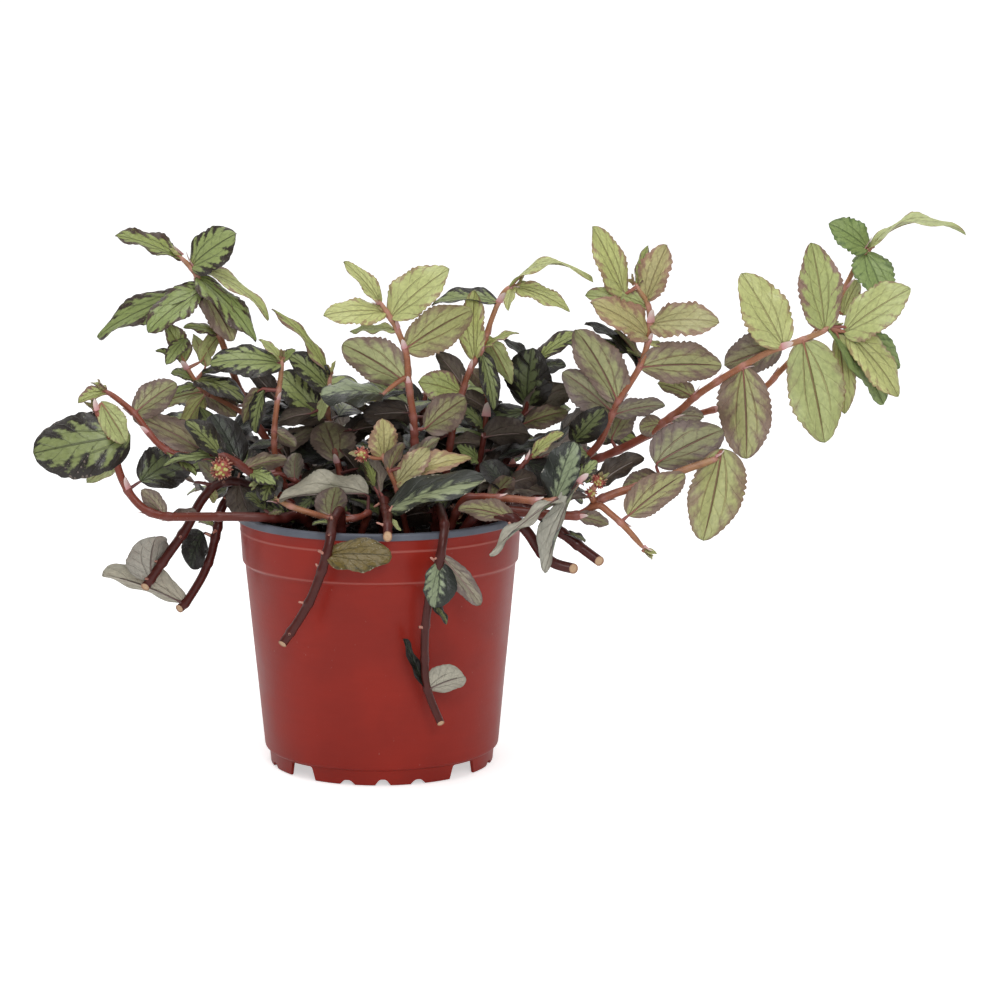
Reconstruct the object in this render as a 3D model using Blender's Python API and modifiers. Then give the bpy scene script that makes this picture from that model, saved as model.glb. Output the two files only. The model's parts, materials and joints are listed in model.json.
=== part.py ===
"""Potted watermelon begonia: a trailing foliage plant in a 12 cm plastic nursery pot.

Metres, +Z up. The plant is looked at along +Y. Every shoot and leaf is laid out by hand
in millimetres from the pot's axis: a point is (across, up) in the upright plane through
that axis, as it looks from EYE, with its depth behind the plane. When all is built, it is
moved so that the origin is the middle of its footprint on the surface it stands on.
"""

import math
import random

import bmesh
import bpy
from mathutils import Vector
from mathutils.bvhtree import BVHTree

MM = 0.001
GAP = 0.3  # clearance between neighbouring pieces; it and every size below is in mm

# The eye that the plant is laid out from
EYE = Vector((51, -1350, 346))

# Pot
POT_HEIGHT = 109
LIP_RADIUS = 61.5
LIP_HEIGHT = 2.9
COLLAR_RADIUS = 60
COLLAR_FOOT = 88
COLLAR_STEP = 1.1
BODY_RADIUS = 50.2
FOOT_HEIGHT = 7
FOOT_INSET = 1.8
WALL = 1.4
FLOOR_HEIGHT = 6
POT_SIDES = 32
DRAIN_GAPS = (45, 135, 225, 315)  # degrees round the foot, from the front
NOTCHES = ((-18, 2.0), (0, 2.6), (18, 2.0))  # degrees from a foot's middle, and height
FOOT_TURN = 2.5  # how far the foot's pattern is turned from straight ahead, in degrees
GAP_WIDTH = 13
GAP_HEIGHT = 6
NOTCH_WIDTH = 4.2

# Soil in the pot
SOIL_TOP = 98
SOIL_CROWN = 2.0
HOLE_DEPTH = 10
HOLE_SIDES = 6

# Stems and blades
RING_SPACING = 32
RING_TURN = math.radians(34)
BLADE_THICKNESS = 0.75
PETIOLE_RADIUS = 0.8
NEAR_STEM = 4.5  # a blade closer than this to its stem starts on the stem's own axis
TEETH = ((30, 5), (19, 4), (12, 3), (0, 2))  # edge points a side, by the blade's length
CLEARANCE = 0.45  # room kept round every blade while it is bent clear
MERGES = (0.45, 0.35, 0.25, 0.15)  # how close two points of a joint may be before they merge

# Tones of foliage, youngest to oldest, each with its colour
FRESH, YOUNG, MID, OLD, DARK = range(5)
TONE_COLOURS = (
    (0.42, 0.47, 0.13),
    (0.36, 0.36, 0.18),
    (0.17, 0.20, 0.08),
    (0.07, 0.09, 0.06),
    (0.035, 0.030, 0.026),
)

# Each shoot has the place of its root in the soil, the route of its stem as
# (across, up, depth), the stem's radius at its foot and at its tip, any side branches,
# and its leaves. A leaf is its base and its tip, each (across, up), how far its tip leans
# back, its width, its turn about its own length (0 shows its upper face, 90 looks up and
# 180 shows its underside), its fold and its arch (in % of its length), and its tone.
SHOOTS = [
    dict(
        name="trailing_stem_front_left",
        root=(-15, -45),
        radii=(2.1, 1.9),
        route=[
            (-17, 108, -48.5), (-20, 104, -54), (-20.8, 101.4, -60), (-21.5, 96, -65.5),
            (-23.5, 88, -66.5), (-26, 80, -66), (-30, 70, -65), (-35, 61, -63), (-42.5, 50, -61),
        ],
        leaves=[
            ((-21, 88.5), (4.5, 89), -4, 15, 28, 8, 4, MID),
            ((-22, 103), (-29, 103), -3, 4, 60, 10, 6, OLD),
        ],
    ),
    dict(
        name="trailing_stem_front_right",
        root=(24, -36),
        radii=(2.1, 1.6),
        route=[
            (24.5, 109, -44), (26, 107, -51), (27.3, 101.8, -60), (26.6, 95, -66),
            (25, 86, -67), (22.5, 77, -66), (20, 66, -65), (18.8, 55, -64), (18.6, 43, -62.5),
            (19, 34, -61.5), (21, 26, -60.5), (25.5, 15, -59.5),
        ],
        leaves=[
            ((24.5, 85), (24, 66), -5, 16, 22, 12, 8, OLD),
            ((19.8, 70), (28.5, 59), -2, 6, 50, 10, 5, DARK),
            ((29.5, 90), (45, 66.5), -2, 12, 168, 8, 8, MID),
            ((20.5, 31), (11, 52.5), -4, 6, 40, 20, -5, DARK),
            ((21, 31), (36, 36.5), -5, 13, 150, 10, 5, MID),
        ],
    ),
    dict(
        name="cut_stem_front",
        root=(2, -24),
        radii=(2.0, 1.9),
        route=[(1.5, 112, -36), (2, 109.5, -45), (3, 105.8, -54), (3, 102.5, -62.5), (3, 97, -67.5)],
        leaves=[
            ((5, 109), (44.5, 122), -9, 21, 46, 10, 6, OLD),
            ((3, 106), (9, 100), -2, 4, 60, 10, 0, FRESH),
        ],
    ),
    dict(
        name="shoot_front_left",
        root=(-7, -27),
        radii=(1.6, 1.2),
        route=[
            (-5, 107, -34), (-8, 105.8, -37), (-14, 104.5, -39), (-22, 105, -40),
            (-30, 107.3, -42), (-38, 110, -42), (-44, 113, -39),
        ],
        leaves=[
            ((-5, 115.5), (-42.5, 116), -10, 22, 115, 38, 4, OLD),
            ((-21, 108.5), (-19, 119), 3, 14, 165, 8, 6, MID),
        ],
    ),
    dict(
        name="young_shoot_front",
        root=(12, -26),
        radii=(1.4, 0.9),
        route=[(8, 113, -32), (6.5, 119, -34), (4, 125, -35), (1.5, 131, -36), (0, 137, -36)],
        branches=[[(1.5, 131, -36), (-3, 131, -37), (-7.5, 132.5, -38)]],
        leaves=[
            ((1, 131), (1.5, 147.5), -3, 13, 15, 15, 6, YOUNG),
            ((4, 126), (9.5, 138), -6, 8, 150, 20, 4, MID),
            ((8, 120), (21, 135), -5, 12, 20, 18, 5, YOUNG),
            ((9, 121), (38.5, 132), 2, 12, 40, 18, 8, YOUNG),
            ((10, 127), (25, 140), 6, 9, 150, 10, 5, MID),
        ],
        blooms=[((-7.5, 132.5, -38), 3.0)],
    ),
    dict(
        name="shoot_far_left",
        root=(-27, -21),
        radii=(2.2, 1.5),
        route=[
            (-35, 106, -28), (-42, 104.8, -33), (-50, 105.3, -37), (-60, 105.6, -38.5),
            (-70, 105.6, -38), (-80, 105.6, -36), (-92, 105.8, -33), (-100, 108.5, -31),
            (-106, 114.5, -30), (-110, 122, -30), (-112.5, 130, -30), (-115, 138, -30),
            (-118, 146, -29), (-120.5, 152, -28),
        ],
        leaves=[
            ((-109, 140), (-147, 132.5), -4, 26, 12, 8, 6, OLD),
            ((-118, 155), (-108, 138), -9, 12, 178, 14, 8, FRESH),
            ((-113, 129.5), (-125, 120.5), 5, 8, 160, 10, 6, FRESH),
            ((-91, 107.5), (-101, 117.5), 4, 9, 150, 12, 6, MID),
            ((-90, 107.5), (-79, 109), 5, 6, 120, 10, 4, OLD),
            ((-102, 121), (-82, 133), 20, 21, 18, 8, 6, DARK),
            ((-48.5, 107), (-42, 108.5), -2, 5, 130, 10, 4, MID),
        ],
    ),
    dict(
        name="shoot_left",
        root=(-22, -6),
        radii=(2.0, 1.2),
        route=[
            (-30, 106, -10), (-38, 111, -16), (-47, 118, -22), (-57, 126, -26),
            (-66, 131.5, -28), (-78, 131.5, -28), (-88, 133, -28), (-94, 137, -28),
            (-97.5, 141, -27), (-104, 150, -26), (-109, 154.5, -25), (-113.5, 158, -24),
            (-117, 160, -24),
        ],
        branches=[[(-62, 129.5, -27), (-65, 128, -30), (-67.5, 126.5, -32)]],
        leaves=[
            ((-103.5, 151.5), (-86.5, 163.5), 5, 15, 165, 10, 8, MID),
            ((-116.5, 159.5), (-128, 155.5), -4, 8, 20, 25, 5, YOUNG),
            ((-116, 160), (-122, 164), 2, 5, 60, 15, 5, YOUNG),
            ((-70.5, 136.5), (-103, 149.5), 9, 14, 160, 8, 6, MID),
            ((-66, 133), (-92, 129.5), -7, 7, 55, 15, 5, FRESH),
            ((-66, 134.5), (-82, 147), -3, 12, 30, 12, 6, OLD),
            ((-59, 130), (-71, 150), 7, 16, 25, 10, 6, OLD),
            ((-57, 128.5), (-39.5, 131), -4, 10, 150, 10, 8, MID),
            ((-56, 124), (-45.5, 120.5), -8, 8, 30, 10, 5, OLD),
        ],
        blooms=[((-67.5, 126.5, -32), 4.6)],
    ),
    dict(
        name="shoot_left_tall",
        root=(-20, 14),
        radii=(2.0, 1.1),
        route=[
            (-28, 114, 16), (-40, 128, 17), (-52, 145, 16), (-60, 162, 14), (-67, 182, 11),
            (-73, 197, 8), (-76, 207, 6), (-79, 212, 5), (-84, 217, 4),
        ],
        branches=[
            [(-54, 148, 15.5), (-66, 155, 12), (-75, 160, 9), (-80.5, 168, 7), (-86, 178, 6)],
        ],
        leaves=[
            ((-84, 217), (-110, 226), -5, 9, 58, 14, 9, YOUNG),
            ((-76, 211), (-59.5, 223.5), -8, 15, 32, 10, 6, MID),
            ((-73, 204), (-97, 186), -12, 15, 38, 12, 8, MID),
            ((-75, 204), (-120, 185), 6, 12, 42, 10, 10, MID),
            ((-80, 176), (-90, 188.5), -2, 9, 40, 10, 6, MID),
            ((-68, 184), (-82, 188), -6, 6, 100, 10, 6, OLD),
            ((-73, 170), (-78, 184), 4, 7, 150, 8, 5, FRESH),
            ((-86, 172), (-94.5, 177.5), 0, 4, 45, 10, 5, MID),
            ((-78, 165), (-87, 167), -3, 5, 60, 10, 5, DARK),
            ((-76, 163), (-86.5, 159.5), -5, 6, 50, 10, 5, MID),
            ((-77, 212), (-47, 192.5), -5, 8, 58, 12, 12, FRESH),
            ((-74, 209), (-53, 182), -9, 13, 55, 12, 8, OLD),
            ((-74, 206), (-61, 181), -12, 14, 162, 10, 6, MID),
            ((-75, 159), (-94.5, 154.5), 8, 10, 150, 10, 5, FRESH),
            ((-74, 158), (-84, 142.5), 9, 10, 150, 10, 6, FRESH),
            ((-70, 160), (-58, 156.5), -5, 7, 92, 10, 14, OLD),
            ((-72, 159), (-61, 149), 4, 11, 160, 8, 5, MID),
            ((-60, 170), (-75, 167.5), -6, 7, 60, 12, 6, DARK),
        ],
    ),
    dict(
        name="shoot_left_inner",
        root=(-27, 2),
        radii=(1.7, 1.0),
        route=[
            (-32, 108, -2), (-39, 116, -6), (-44, 128, -9), (-45, 140, -10), (-43.5, 155, -9),
            (-42, 165, -8), (-41, 174, -8),
        ],
        leaves=[
            ((-44, 172), (-71.5, 174), -5, 12, 42, 12, 7, MID),
            ((-43, 173), (-50.5, 182), 0, 6, 50, 14, 5, YOUNG),
            ((-45, 156), (-55.5, 170.5), 3, 9, 160, 8, 6, DARK),
            ((-41, 173), (-36, 177.5), -2, 5, 40, 15, 5, MID),
            ((-49, 160), (-53.5, 142), -3, 9, 38, 14, 6, OLD),
            ((-51, 161), (-58, 147), 8, 8, 150, 8, 5, MID),
            ((-44, 142.5), (-35.5, 136), -3, 7, 160, 8, 5, MID),
            ((-45, 138), (-56, 136), 5, 9, 60, 8, 6, DARK),
        ],
    ),
    dict(
        name="shoot_centre_left",
        root=(-10, 8),
        radii=(1.6, 1.0),
        route=[(-13, 112, 9), (-17, 124, 9), (-20, 138, 8), (-22, 150, 7), (-21.5, 160, 6),
               (-21, 167, 6)],
        leaves=[
            ((-22, 160), (-38, 175.5), -5, 10, 30, 12, 6, MID),
            ((-23, 168), (-43.5, 195.5), -4, 7, 42, 14, 8, YOUNG),
            ((-20, 164), (-25, 172), 0, 5, 40, 12, 5, MID),
            ((-26, 150), (-42, 167.5), 3, 17, 18, 8, 6, OLD),
            ((-24, 147.5), (-42, 149.5), -6, 12, 130, 8, 8, DARK),
            ((-20, 129.5), (-23.5, 146.5), -9, 20, 170, 10, 10, MID),
            ((-23, 159), (-26, 147), -5, 6, 30, 14, 5, FRESH),
        ],
    ),
    dict(
        name="shoot_middle",
        root=(13, -12),
        radii=(2.1, 1.1),
        route=[
            (13.5, 112, -15), (14.5, 130, -17), (14.5, 145, -18), (13, 157, -18),
            (12, 166, -18), (11.5, 175, -18), (8, 185, -18), (4, 192, -19), (0, 198, -20),
        ],
        branches=[[(12, 166, -18), (7, 163, -19), (0.5, 157.5, -20)]],
        leaves=[
            ((-1, 199), (-11, 214), -2, 7, 28, 15, 6, FRESH),
            ((2, 192.5), (-23.5, 192), -8, 13, 36, 10, 8, FRESH),
            ((5, 190), (28, 210.5), -6, 19, 22, 8, 5, FRESH),
            ((5, 184), (-12.5, 185.5), 4, 7, 55, 10, 6, YOUNG),
            ((10, 163), (-17, 178.5), -6, 14, 162, 10, 8, YOUNG),
            ((13, 177), (40.5, 188.5), -4, 18, 163, 8, 6, YOUNG),
            ((13, 168), (36, 163), 9, 12, 150, 8, 6, DARK),
            ((1, 157.5), (-25, 158.5), -4, 21, 66, 6, 6, OLD),
            ((19, 143.5), (36.5, 157), -6, 16, 163, 8, 8, MID),
            ((11, 159), (-1, 156), 3, 5, 65, 10, 5, DARK),
            ((12, 150), (-6.5, 149.5), 9, 14, 158, 8, 6, DARK),
            ((14, 128), (-6, 120), 6, 14, 60, 8, 8, DARK),
        ],
    ),
    dict(
        name="shoot_middle_right",
        root=(25, 4),
        radii=(1.8, 1.0),
        route=[
            (26.5, 112, 3), (28.5, 128, 1), (30.5, 141, -1), (33, 152, -2), (35.5, 161, -3),
            (38.5, 169, -4), (43, 177, -4), (47, 189, -4), (51, 199, -5), (54, 203, -6),
            (58, 205, -6),
        ],
        leaves=[
            ((55, 204), (89.5, 210), -6, 6, 78, 10, 24, YOUNG),
            ((58, 204.5), (80.5, 194.5), -8, 10, 32, 12, 8, FRESH),
            ((59, 204), (54, 194.5), -8, 6, 40, 12, 4, FRESH),
            ((40, 172), (40, 202.5), -3, 12, 20, 12, 5, YOUNG),
            ((50, 198), (22, 198.5), 4, 9, 70, 12, 6, MID),
            ((44, 178), (58.5, 185.5), -2, 6, 58, 12, 6, YOUNG),
            ((45, 176), (49, 152), -5, 9, 20, 10, 5, DARK),
            ((45, 183), (56, 163), 6, 10, 160, 10, 6, FRESH),
            ((38, 169), (46, 160.5), 3, 9, 150, 8, 5, OLD),
            ((33, 159.5), (17, 164), -7, 15, 24, 8, 6, YOUNG),
            ((30, 140), (20, 141), 8, 9, 140, 8, 6, DARK),
        ],
    ),
    dict(
        name="shoot_centre_dark",
        root=(34, 16),
        radii=(1.5, 1.0),
        route=[(37, 112, 14), (41, 124, 11), (43.5, 136, 9), (45, 148, 8), (45.5, 158, 8)],
        leaves=[
            ((45, 143), (35, 152), -8, 11, 55, 8, 6, OLD),
            ((45, 152), (35, 158.5), 3, 10, 160, 8, 6, DARK),
            ((44, 140), (63.5, 141.5), -9, 16, 138, 10, 6, DARK),
            ((42, 130), (33, 136), -6, 8, 28, 8, 5, OLD),
            ((41, 123), (57, 124), -8, 14, 60, 8, 8, DARK),
            ((39, 116), (24, 122), -10, 13, 120, 8, 8, DARK),
        ],
    ),
    dict(
        name="shoot_crown_right",
        root=(42, 17),
        radii=(1.7, 1.0),
        route=[(46, 114, 18), (53, 128, 19), (59, 142, 20), (63, 156, 18), (66, 170, 17)],
        leaves=[
            ((62, 153), (66, 177.5), -6, 19, 15, 8, 6, OLD),
            ((65, 169), (53, 181.5), -3, 10, 55, 10, 8, DARK),
            ((66, 171), (78.5, 171.5), -4, 10, 55, 10, 8, DARK),
            ((60, 151), (80, 163), -12, 15, 150, 8, 6, DARK),
            ((60, 146), (80.5, 152), -14, 10, 160, 8, 6, MID),
            ((67, 173), (85, 185.5), 2, 7, 40, 14, 6, MID),
            ((58, 140), (47, 153), 6, 13, 40, 8, 6, DARK),
        ],
    ),
    dict(
        name="shoot_crown_front_right",
        root=(38, -14),
        radii=(1.5, 1.0),
        route=[(44, 110, -17), (50, 115, -20), (56, 121, -22), (60, 127, -21), (65, 133, -20)],
        leaves=[
            ((65, 133), (77.5, 142), -5, 8, 40, 18, 5, YOUNG),
            ((56, 121), (66.5, 123.5), -6, 10, 150, 10, 6, DARK),
            ((47, 113), (56, 123.5), -8, 10, 165, 10, 6, MID),
            ((62, 130), (76, 121), 8, 14, 40, 8, 6, DARK),
            ((53, 118), (44, 130), 5, 13, 40, 8, 6, DARK),
        ],
    ),
    dict(
        name="shoot_right_inner",
        root=(46, -4),
        radii=(2.0, 1.1),
        route=[
            (54, 111, -6), (66, 114.5, -10), (78, 122, -14), (88, 131.5, -17), (93.5, 138, -18),
            (97, 146, -18), (101, 155, -18), (106, 163, -18), (111, 172, -18), (114, 184, -18),
            (113.5, 196, -19), (108, 205.5, -20),
        ],
        leaves=[
            ((104, 202), (90.5, 229.5), -3, 12, 20, 12, 6, FRESH),
            ((107, 205), (113, 221.5), 0, 7, 40, 12, 5, YOUNG),
            ((114, 199), (118, 222), -6, 14, 18, 10, 6, YOUNG),
            ((112, 195), (87, 200.5), -7, 12, 28, 10, 6, YOUNG),
            ((112, 182), (93.5, 195), -9, 10, 36, 14, 6, MID),
            ((110, 173), (100, 186), 5, 7, 125, 10, 5, MID),
            ((116, 188.5), (142.5, 189), -9, 16, 32, 10, 8, YOUNG),
            ((114, 180), (121, 179), 2, 4, 40, 10, 5, FRESH),
            ((111, 170), (145, 170), -7, 18, 162, 8, 6, YOUNG),
            ((100, 156), (84, 187), -8, 19, 163, 8, 6, YOUNG),
            ((101, 148), (120.5, 154.5), 5, 11, 140, 10, 5, MID),
            ((82, 138), (94.5, 152), -8, 14, 20, 8, 6, DARK),
            ((90, 133), (76, 133), -8, 12, 32, 8, 6, OLD),
            ((88, 130.5), (88, 120.5), -8, 9, 18, 10, 6, OLD),
        ],
    ),
    dict(
        name="shoot_right_long",
        root=(38, 6),
        radii=(2.2, 1.2),
        route=[
            (48, 110, 5), (62, 116, 4), (76, 122.5, 2), (89, 129, 0), (100, 133.8, -2),
            (112, 140, -4), (120, 146, -5), (128, 152, -6), (134, 157.5, -7), (145, 165, -8),
            (155, 171, -9), (165, 176.5, -10), (180, 182, -11), (187, 185, -12), (191, 188, -12),
        ],
        leaves=[
            ((168, 180), (151, 209.5), -4, 21, 14, 8, 5, FRESH),
            ((188, 187), (184, 222.5), -6, 19, 18, 10, 5, YOUNG),
            ((169, 179), (146, 171), 9, 18, 158, 8, 6, MID),
            ((153, 168), (154, 129.5), -9, 23, 168, 10, 6, YOUNG),
            ((180, 181), (190, 138), -11, 23, 168, 10, 6, FRESH),
            ((194, 184), (197.5, 150), -5, 11, 160, 10, 6, FRESH),
            ((196, 188.5), (223, 207), -6, 18, 28, 10, 6, FRESH),
            ((197, 184.5), (221.5, 158), -2, 14, 30, 12, 6, FRESH),
            ((197, 186), (219, 171), 8, 10, 30, 12, 6, MID),
            ((98, 139), (107, 155.5), 9, 13, 160, 8, 6, MID),
            ((119.5, 145.5), (110, 143.5), -5, 10, 160, 8, 6, MID),
            ((124, 149), (137, 149), 8, 10, 150, 8, 6, MID),
            ((133, 157.5), (118, 163.5), 3, 9, 150, 8, 6, YOUNG),
        ],
    ),
    dict(
        name="shoot_right_high",
        root=(30, 26),
        radii=(1.9, 1.0),
        route=[
            (42, 112, 27), (60, 119, 26), (80, 126, 24), (100, 133.5, 21), (112, 139.5, 19),
            (122, 145, 17), (134, 149.5, 15), (146, 153, 13), (156, 157, 11), (164, 162, 10),
            (169, 167.5, 9), (177, 176, 9), (186, 187, 8), (192, 195, 7), (197, 205, 6),
            (202.5, 216, 5), (207, 221, 4),
        ],
        leaves=[
            ((207, 221), (246.5, 225.5), -10, 10, 74, 12, 20, FRESH),
            ((204, 220), (190.5, 229.5), -4, 13, 28, 10, 6, MID),
            ((206, 217.5), (213, 199), -12, 18, 20, 10, 6, MID),
            ((196, 204), (191, 196.5), 3, 6, 40, 10, 5, FRESH),
        ],
    ),
    dict(
        name="shoot_right_low",
        root=(40, -26),
        radii=(2.3, 1.5),
        route=[
            (47, 109, -28), (54, 108.3, -29), (64, 107.3, -30), (76, 106.3, -31), (84, 106.2, -31),
            (89, 108.5, -30), (93, 112.5, -29), (100, 115.7, -28), (110, 118.7, -27),
            (119, 121.5, -26), (130, 126, -25), (138, 128.8, -24), (144, 131, -24),
        ],
        branches=[
            [(88, 108, -30.3), (93, 110.5, -32), (98, 107, -33), (104.5, 101, -34), (112.5, 91.8, -35)],
            [(91.5, 111, -29.5), (90, 116, -32), (93, 121, -33)],
        ],
        leaves=[
            ((119, 126.5), (147.5, 140.5), -5, 19, 167, 8, 8, MID),
            ((144, 131), (138.5, 95), -9, 25, 170, 8, 6, YOUNG),
            ((107, 103.5), (128.5, 119), -4, 14, 162, 10, 6, YOUNG),
            ((119.5, 124), (103.5, 118.5), 6, 12, 150, 8, 6, MID),
            ((93, 118), (111, 132), 7, 11, 148, 10, 6, DARK),
            ((84, 104), (97.5, 102.5), -3, 9, 130, 10, 6, MID),
        ],
        blooms=[((93, 121, -33), 3.0), ((90, 116, -32), 2.2)],
    ),
    dict(
        name="shoot_front_right",
        root=(29, -32.5),
        radii=(2.0, 1.3),
        route=[
            (35, 112, -37), (42, 114, -38.5), (48, 113.8, -39.5), (58, 113.2, -41), (66, 112.4, -42), (74, 112.5, -42),
            (80, 115.5, -42), (85, 121.5, -42),
        ],
        leaves=[
            ((78, 112), (47, 88), -16, 10, 55, 22, 5, OLD),
            ((85, 121.5), (71.5, 80.5), -10, 14, 48, 42, 5, OLD),
            ((74, 114), (82, 138), 2, 16, 22, 10, 6, OLD),
            ((84, 120), (92, 130), 3, 7, 35, 10, 6, OLD),
        ],
    ),
    dict(
        name="cut_stem_right_front",
        root=(35, -38),
        radii=(2.3, 2.2),
        route=[
            (41, 107, -40.5), (45, 107.5, -41), (51, 106.6, -42), (57, 104.5, -43), (63, 98.5, -43), (68, 91, -42),
            (74, 85.5, -41), (82.5, 83, -41),
        ],
        leaves=[((57, 105), (33, 110), -6, 12, 148, 10, 8, MID)],
    ),
    dict(
        name="cut_stem_right_back",
        root=(45, -14),
        radii=(2.3, 2.2),
        route=[(53, 109.2, -15), (61, 109.6, -15.5), (68, 106.4, -16), (76, 99.8, -17),
               (84, 93.5, -18), (93.5, 86.3, -19)],
        leaves=[((78, 98.5), (87.5, 95), -5, 7, 65, 10, 8, OLD)],
    ),
    dict(
        name="cut_stub",
        root=(32, -12),
        radii=(2.2, 2.1),
        route=[(32.5, 106.5, -18), (33, 107.3, -23), (33, 106.6, -29)],
        leaves=[],
    ),
    dict(
        name="trailing_stem_left_outer",
        root=(-40, -2),
        radii=(2.1, 2.0),
        route=[
            (-47, 110, 0), (-53, 117, 1), (-60, 120.5, 1), (-67, 120.5, 1), (-72, 117.5, 0),
            (-76, 113, -1), (-79, 108, -2), (-82, 102, -3), (-86, 96, -3), (-91, 89, -3),
            (-96, 82, -3), (-101, 75, -3),
        ],
        leaves=[
            ((-103, 79), (-99, 99.5), -7, 22, 168, 10, 8, MID),
            ((-68, 120), (-77, 129.5), 5, 8, 150, 8, 6, MID),
            ((-60, 121), (-56, 107), -12, 16, 158, 8, 8, DARK),
            ((-72, 117), (-70, 111.5), -5, 5, 150, 8, 5, YOUNG),
            ((-66, 121), (-76, 153), 8, 16, 50, 8, 10, DARK),
        ],
    ),
    dict(
        name="trailing_stem_left_inner",
        root=(-38, 16),
        radii=(2.1, 1.9),
        route=[
            (-46, 112, 17), (-53, 117.5, 17), (-60, 117, 16), (-65.5, 113, 14), (-68.5, 107, 12),
            (-69.5, 101, 10), (-71, 95, 9), (-73, 87.5, 8), (-76.5, 79.5, 7), (-81, 72, 6),
            (-84, 67.8, 6), (-86.5, 65.5, 6),
        ],
        leaves=[
            ((-86, 67), (-119, 79.5), -8, 17, 140, 32, 4, OLD),
            ((-76, 99), (-82, 83.5), -1, 15, 28, 14, 6, DARK),
            ((-71, 101), (-77.5, 104), 2, 5, 60, 10, 5, MID),
        ],
    ),
    dict(
        name="shoot_crown_left",
        root=(-17, -18),
        radii=(1.5, 1.0),
        route=[(-23, 111, -22), (-29, 116, -25), (-36, 121, -27), (-44, 124, -28.5), (-51, 121.5, -30)],
        leaves=[
            ((-36, 122), (-36, 133.5), -4, 10, 150, 10, 6, MID),
            ((-44, 124), (-50, 113), -8, 13, 40, 8, 8, DARK),
            ((-30, 116.5), (-25, 128), -4, 12, 140, 10, 8, DARK),
            ((-52, 121), (-62, 116), -4, 10, 140, 10, 8, DARK),
            ((-27, 115), (-35, 108), -4, 10, 40, 8, 8, DARK),
        ],
    ),
]

# Short dark shoots that fill the crown, each as its root and the place of its top
CROWN_SHOOTS = [
    ((-45, 25), (-74, 148, 34)),
    ((-14, 22), (-36, 158, 32)),
    ((-1, 14), (-3, 150, 20)),
    ((13, 20), (20, 160, 28)),
    ((22.5, 39.5), (31, 150, 47)),
    ((49, 11), (88, 143, 8)),
]
CROWN_LEAVES = 5
CROWN_LEAF_LENGTH = 25

# Shoots on the far side, which trail outwards over the rim by one rule
BACK_ANGLES = (50, 70, 90, 110, 132)  # degrees from +X round to the back
BACK_ROOT = 36
BACK_REACH = 74
BACK_RISE = 27
BACK_DROP = 48
BACK_LEAVES = 5
BACK_LEAF_LENGTH = 25
FILL_SEED = 7


def seen(across, up, depth):
    """The place, at this depth, that EYE sees at this point of the upright plane."""
    on_plane = Vector((across, 0, up))
    return EYE + (on_plane - EYE) * ((depth - EYE.y) / -EYE.y)


def as_seen(point):
    """The inverse of seen: the (across, up, depth) of a place."""
    on_plane = EYE + (point - EYE) * (-EYE.y / (point.y - EYE.y))
    return (on_plane.x, on_plane.z, point.y)


def leaf_on(axis, share, heading, length, chance, tone):
    """A leaf that starts at this share along a shoot's axis, listed as the others are."""
    spot = share * (len(axis) - 1)
    first = min(int(spot), len(axis) - 2)
    base = axis[first].lerp(axis[first + 1], spot - first)
    near, far = as_seen(base), as_seen(base + heading.normalized() * length)
    return (
        near[:2], far[:2], far[2] - near[2], length * chance.uniform(0.5, 0.62),
        chance.uniform(30, 100), 10, 8, tone,
    )


def crown_shoot(index, root, top, chance):
    """A short upright shoot with dark leaves to both sides."""
    foot = Vector((*root, SOIL_TOP + SOIL_CROWN + 8))
    head = seen(*top)
    lean = Vector((head.x - foot.x, head.y - foot.y, 0))
    axis = [foot + lean * share ** 1.5 + Vector((0, 0, (head.z - foot.z) * share))
            for share in (0.2, 0.4, 0.6, 0.8, 1)]
    leaves = []
    for place in range(CROWN_LEAVES):
        share = place / (CROWN_LEAVES - 1)
        side = 1 if (place + index) % 2 else -1
        heading = Vector((side, chance.uniform(-0.45, 0.6), chance.uniform(-0.3, 0.7)))
        length = CROWN_LEAF_LENGTH * chance.uniform(0.85, 1.15)
        leaves.append(leaf_on(axis, share, heading, length, chance, DARK if place % 2 else OLD))
    return dict(
        name=f"shoot_crown_{index + 1}", root=root, radii=(1.6, 1.1),
        route=[as_seen(point) for point in axis], leaves=leaves,
    )


def back_shoot(index, angle, chance):
    """A shoot that leaves the far side of the pot at this angle; every other one hangs."""
    out = Vector((math.cos(math.radians(angle)), math.sin(math.radians(angle)), 0))
    sideways = Vector((-out.y, out.x, 0))
    hangs = index % 2
    reach = BACK_REACH * (0.62 if hangs else 1) * chance.uniform(0.9, 1.05)
    drift = chance.uniform(-9, 9)
    rise = BACK_RISE * chance.uniform(0.9, 1.1)
    axis = []
    for step in range(1, 8):
        share = step / 7
        height = SOIL_TOP + SOIL_CROWN + 5 + rise * math.sin(math.pi * min(1, share * 1.35))
        if hangs:
            height -= BACK_DROP * max(0, share - 0.6) / 0.4
        point = out * (BACK_ROOT + reach * share ** 0.9) + sideways * drift * share
        point.z = height
        axis.append(point)
    leaves = []
    for place in range(BACK_LEAVES):
        side = 1 if place % 2 else -1
        heading = out * 0.7 + sideways * side * chance.uniform(0.7, 1.1)
        if place == BACK_LEAVES - 1:
            heading = out + sideways * side * 0.2
        heading.z = chance.uniform(-0.35, 0.3)
        length = BACK_LEAF_LENGTH * chance.uniform(0.8, 1.15)
        share = 0.34 + 0.66 * place / (BACK_LEAVES - 1)
        leaves.append(leaf_on(axis, share, heading, length, chance, OLD if place < 3 else MID))
    return dict(
        name=f"shoot_back_{index + 1}", root=(out.x * BACK_ROOT, out.y * BACK_ROOT),
        radii=(2.0, 1.3), route=[as_seen(point) for point in axis], leaves=leaves,
    )


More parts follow.
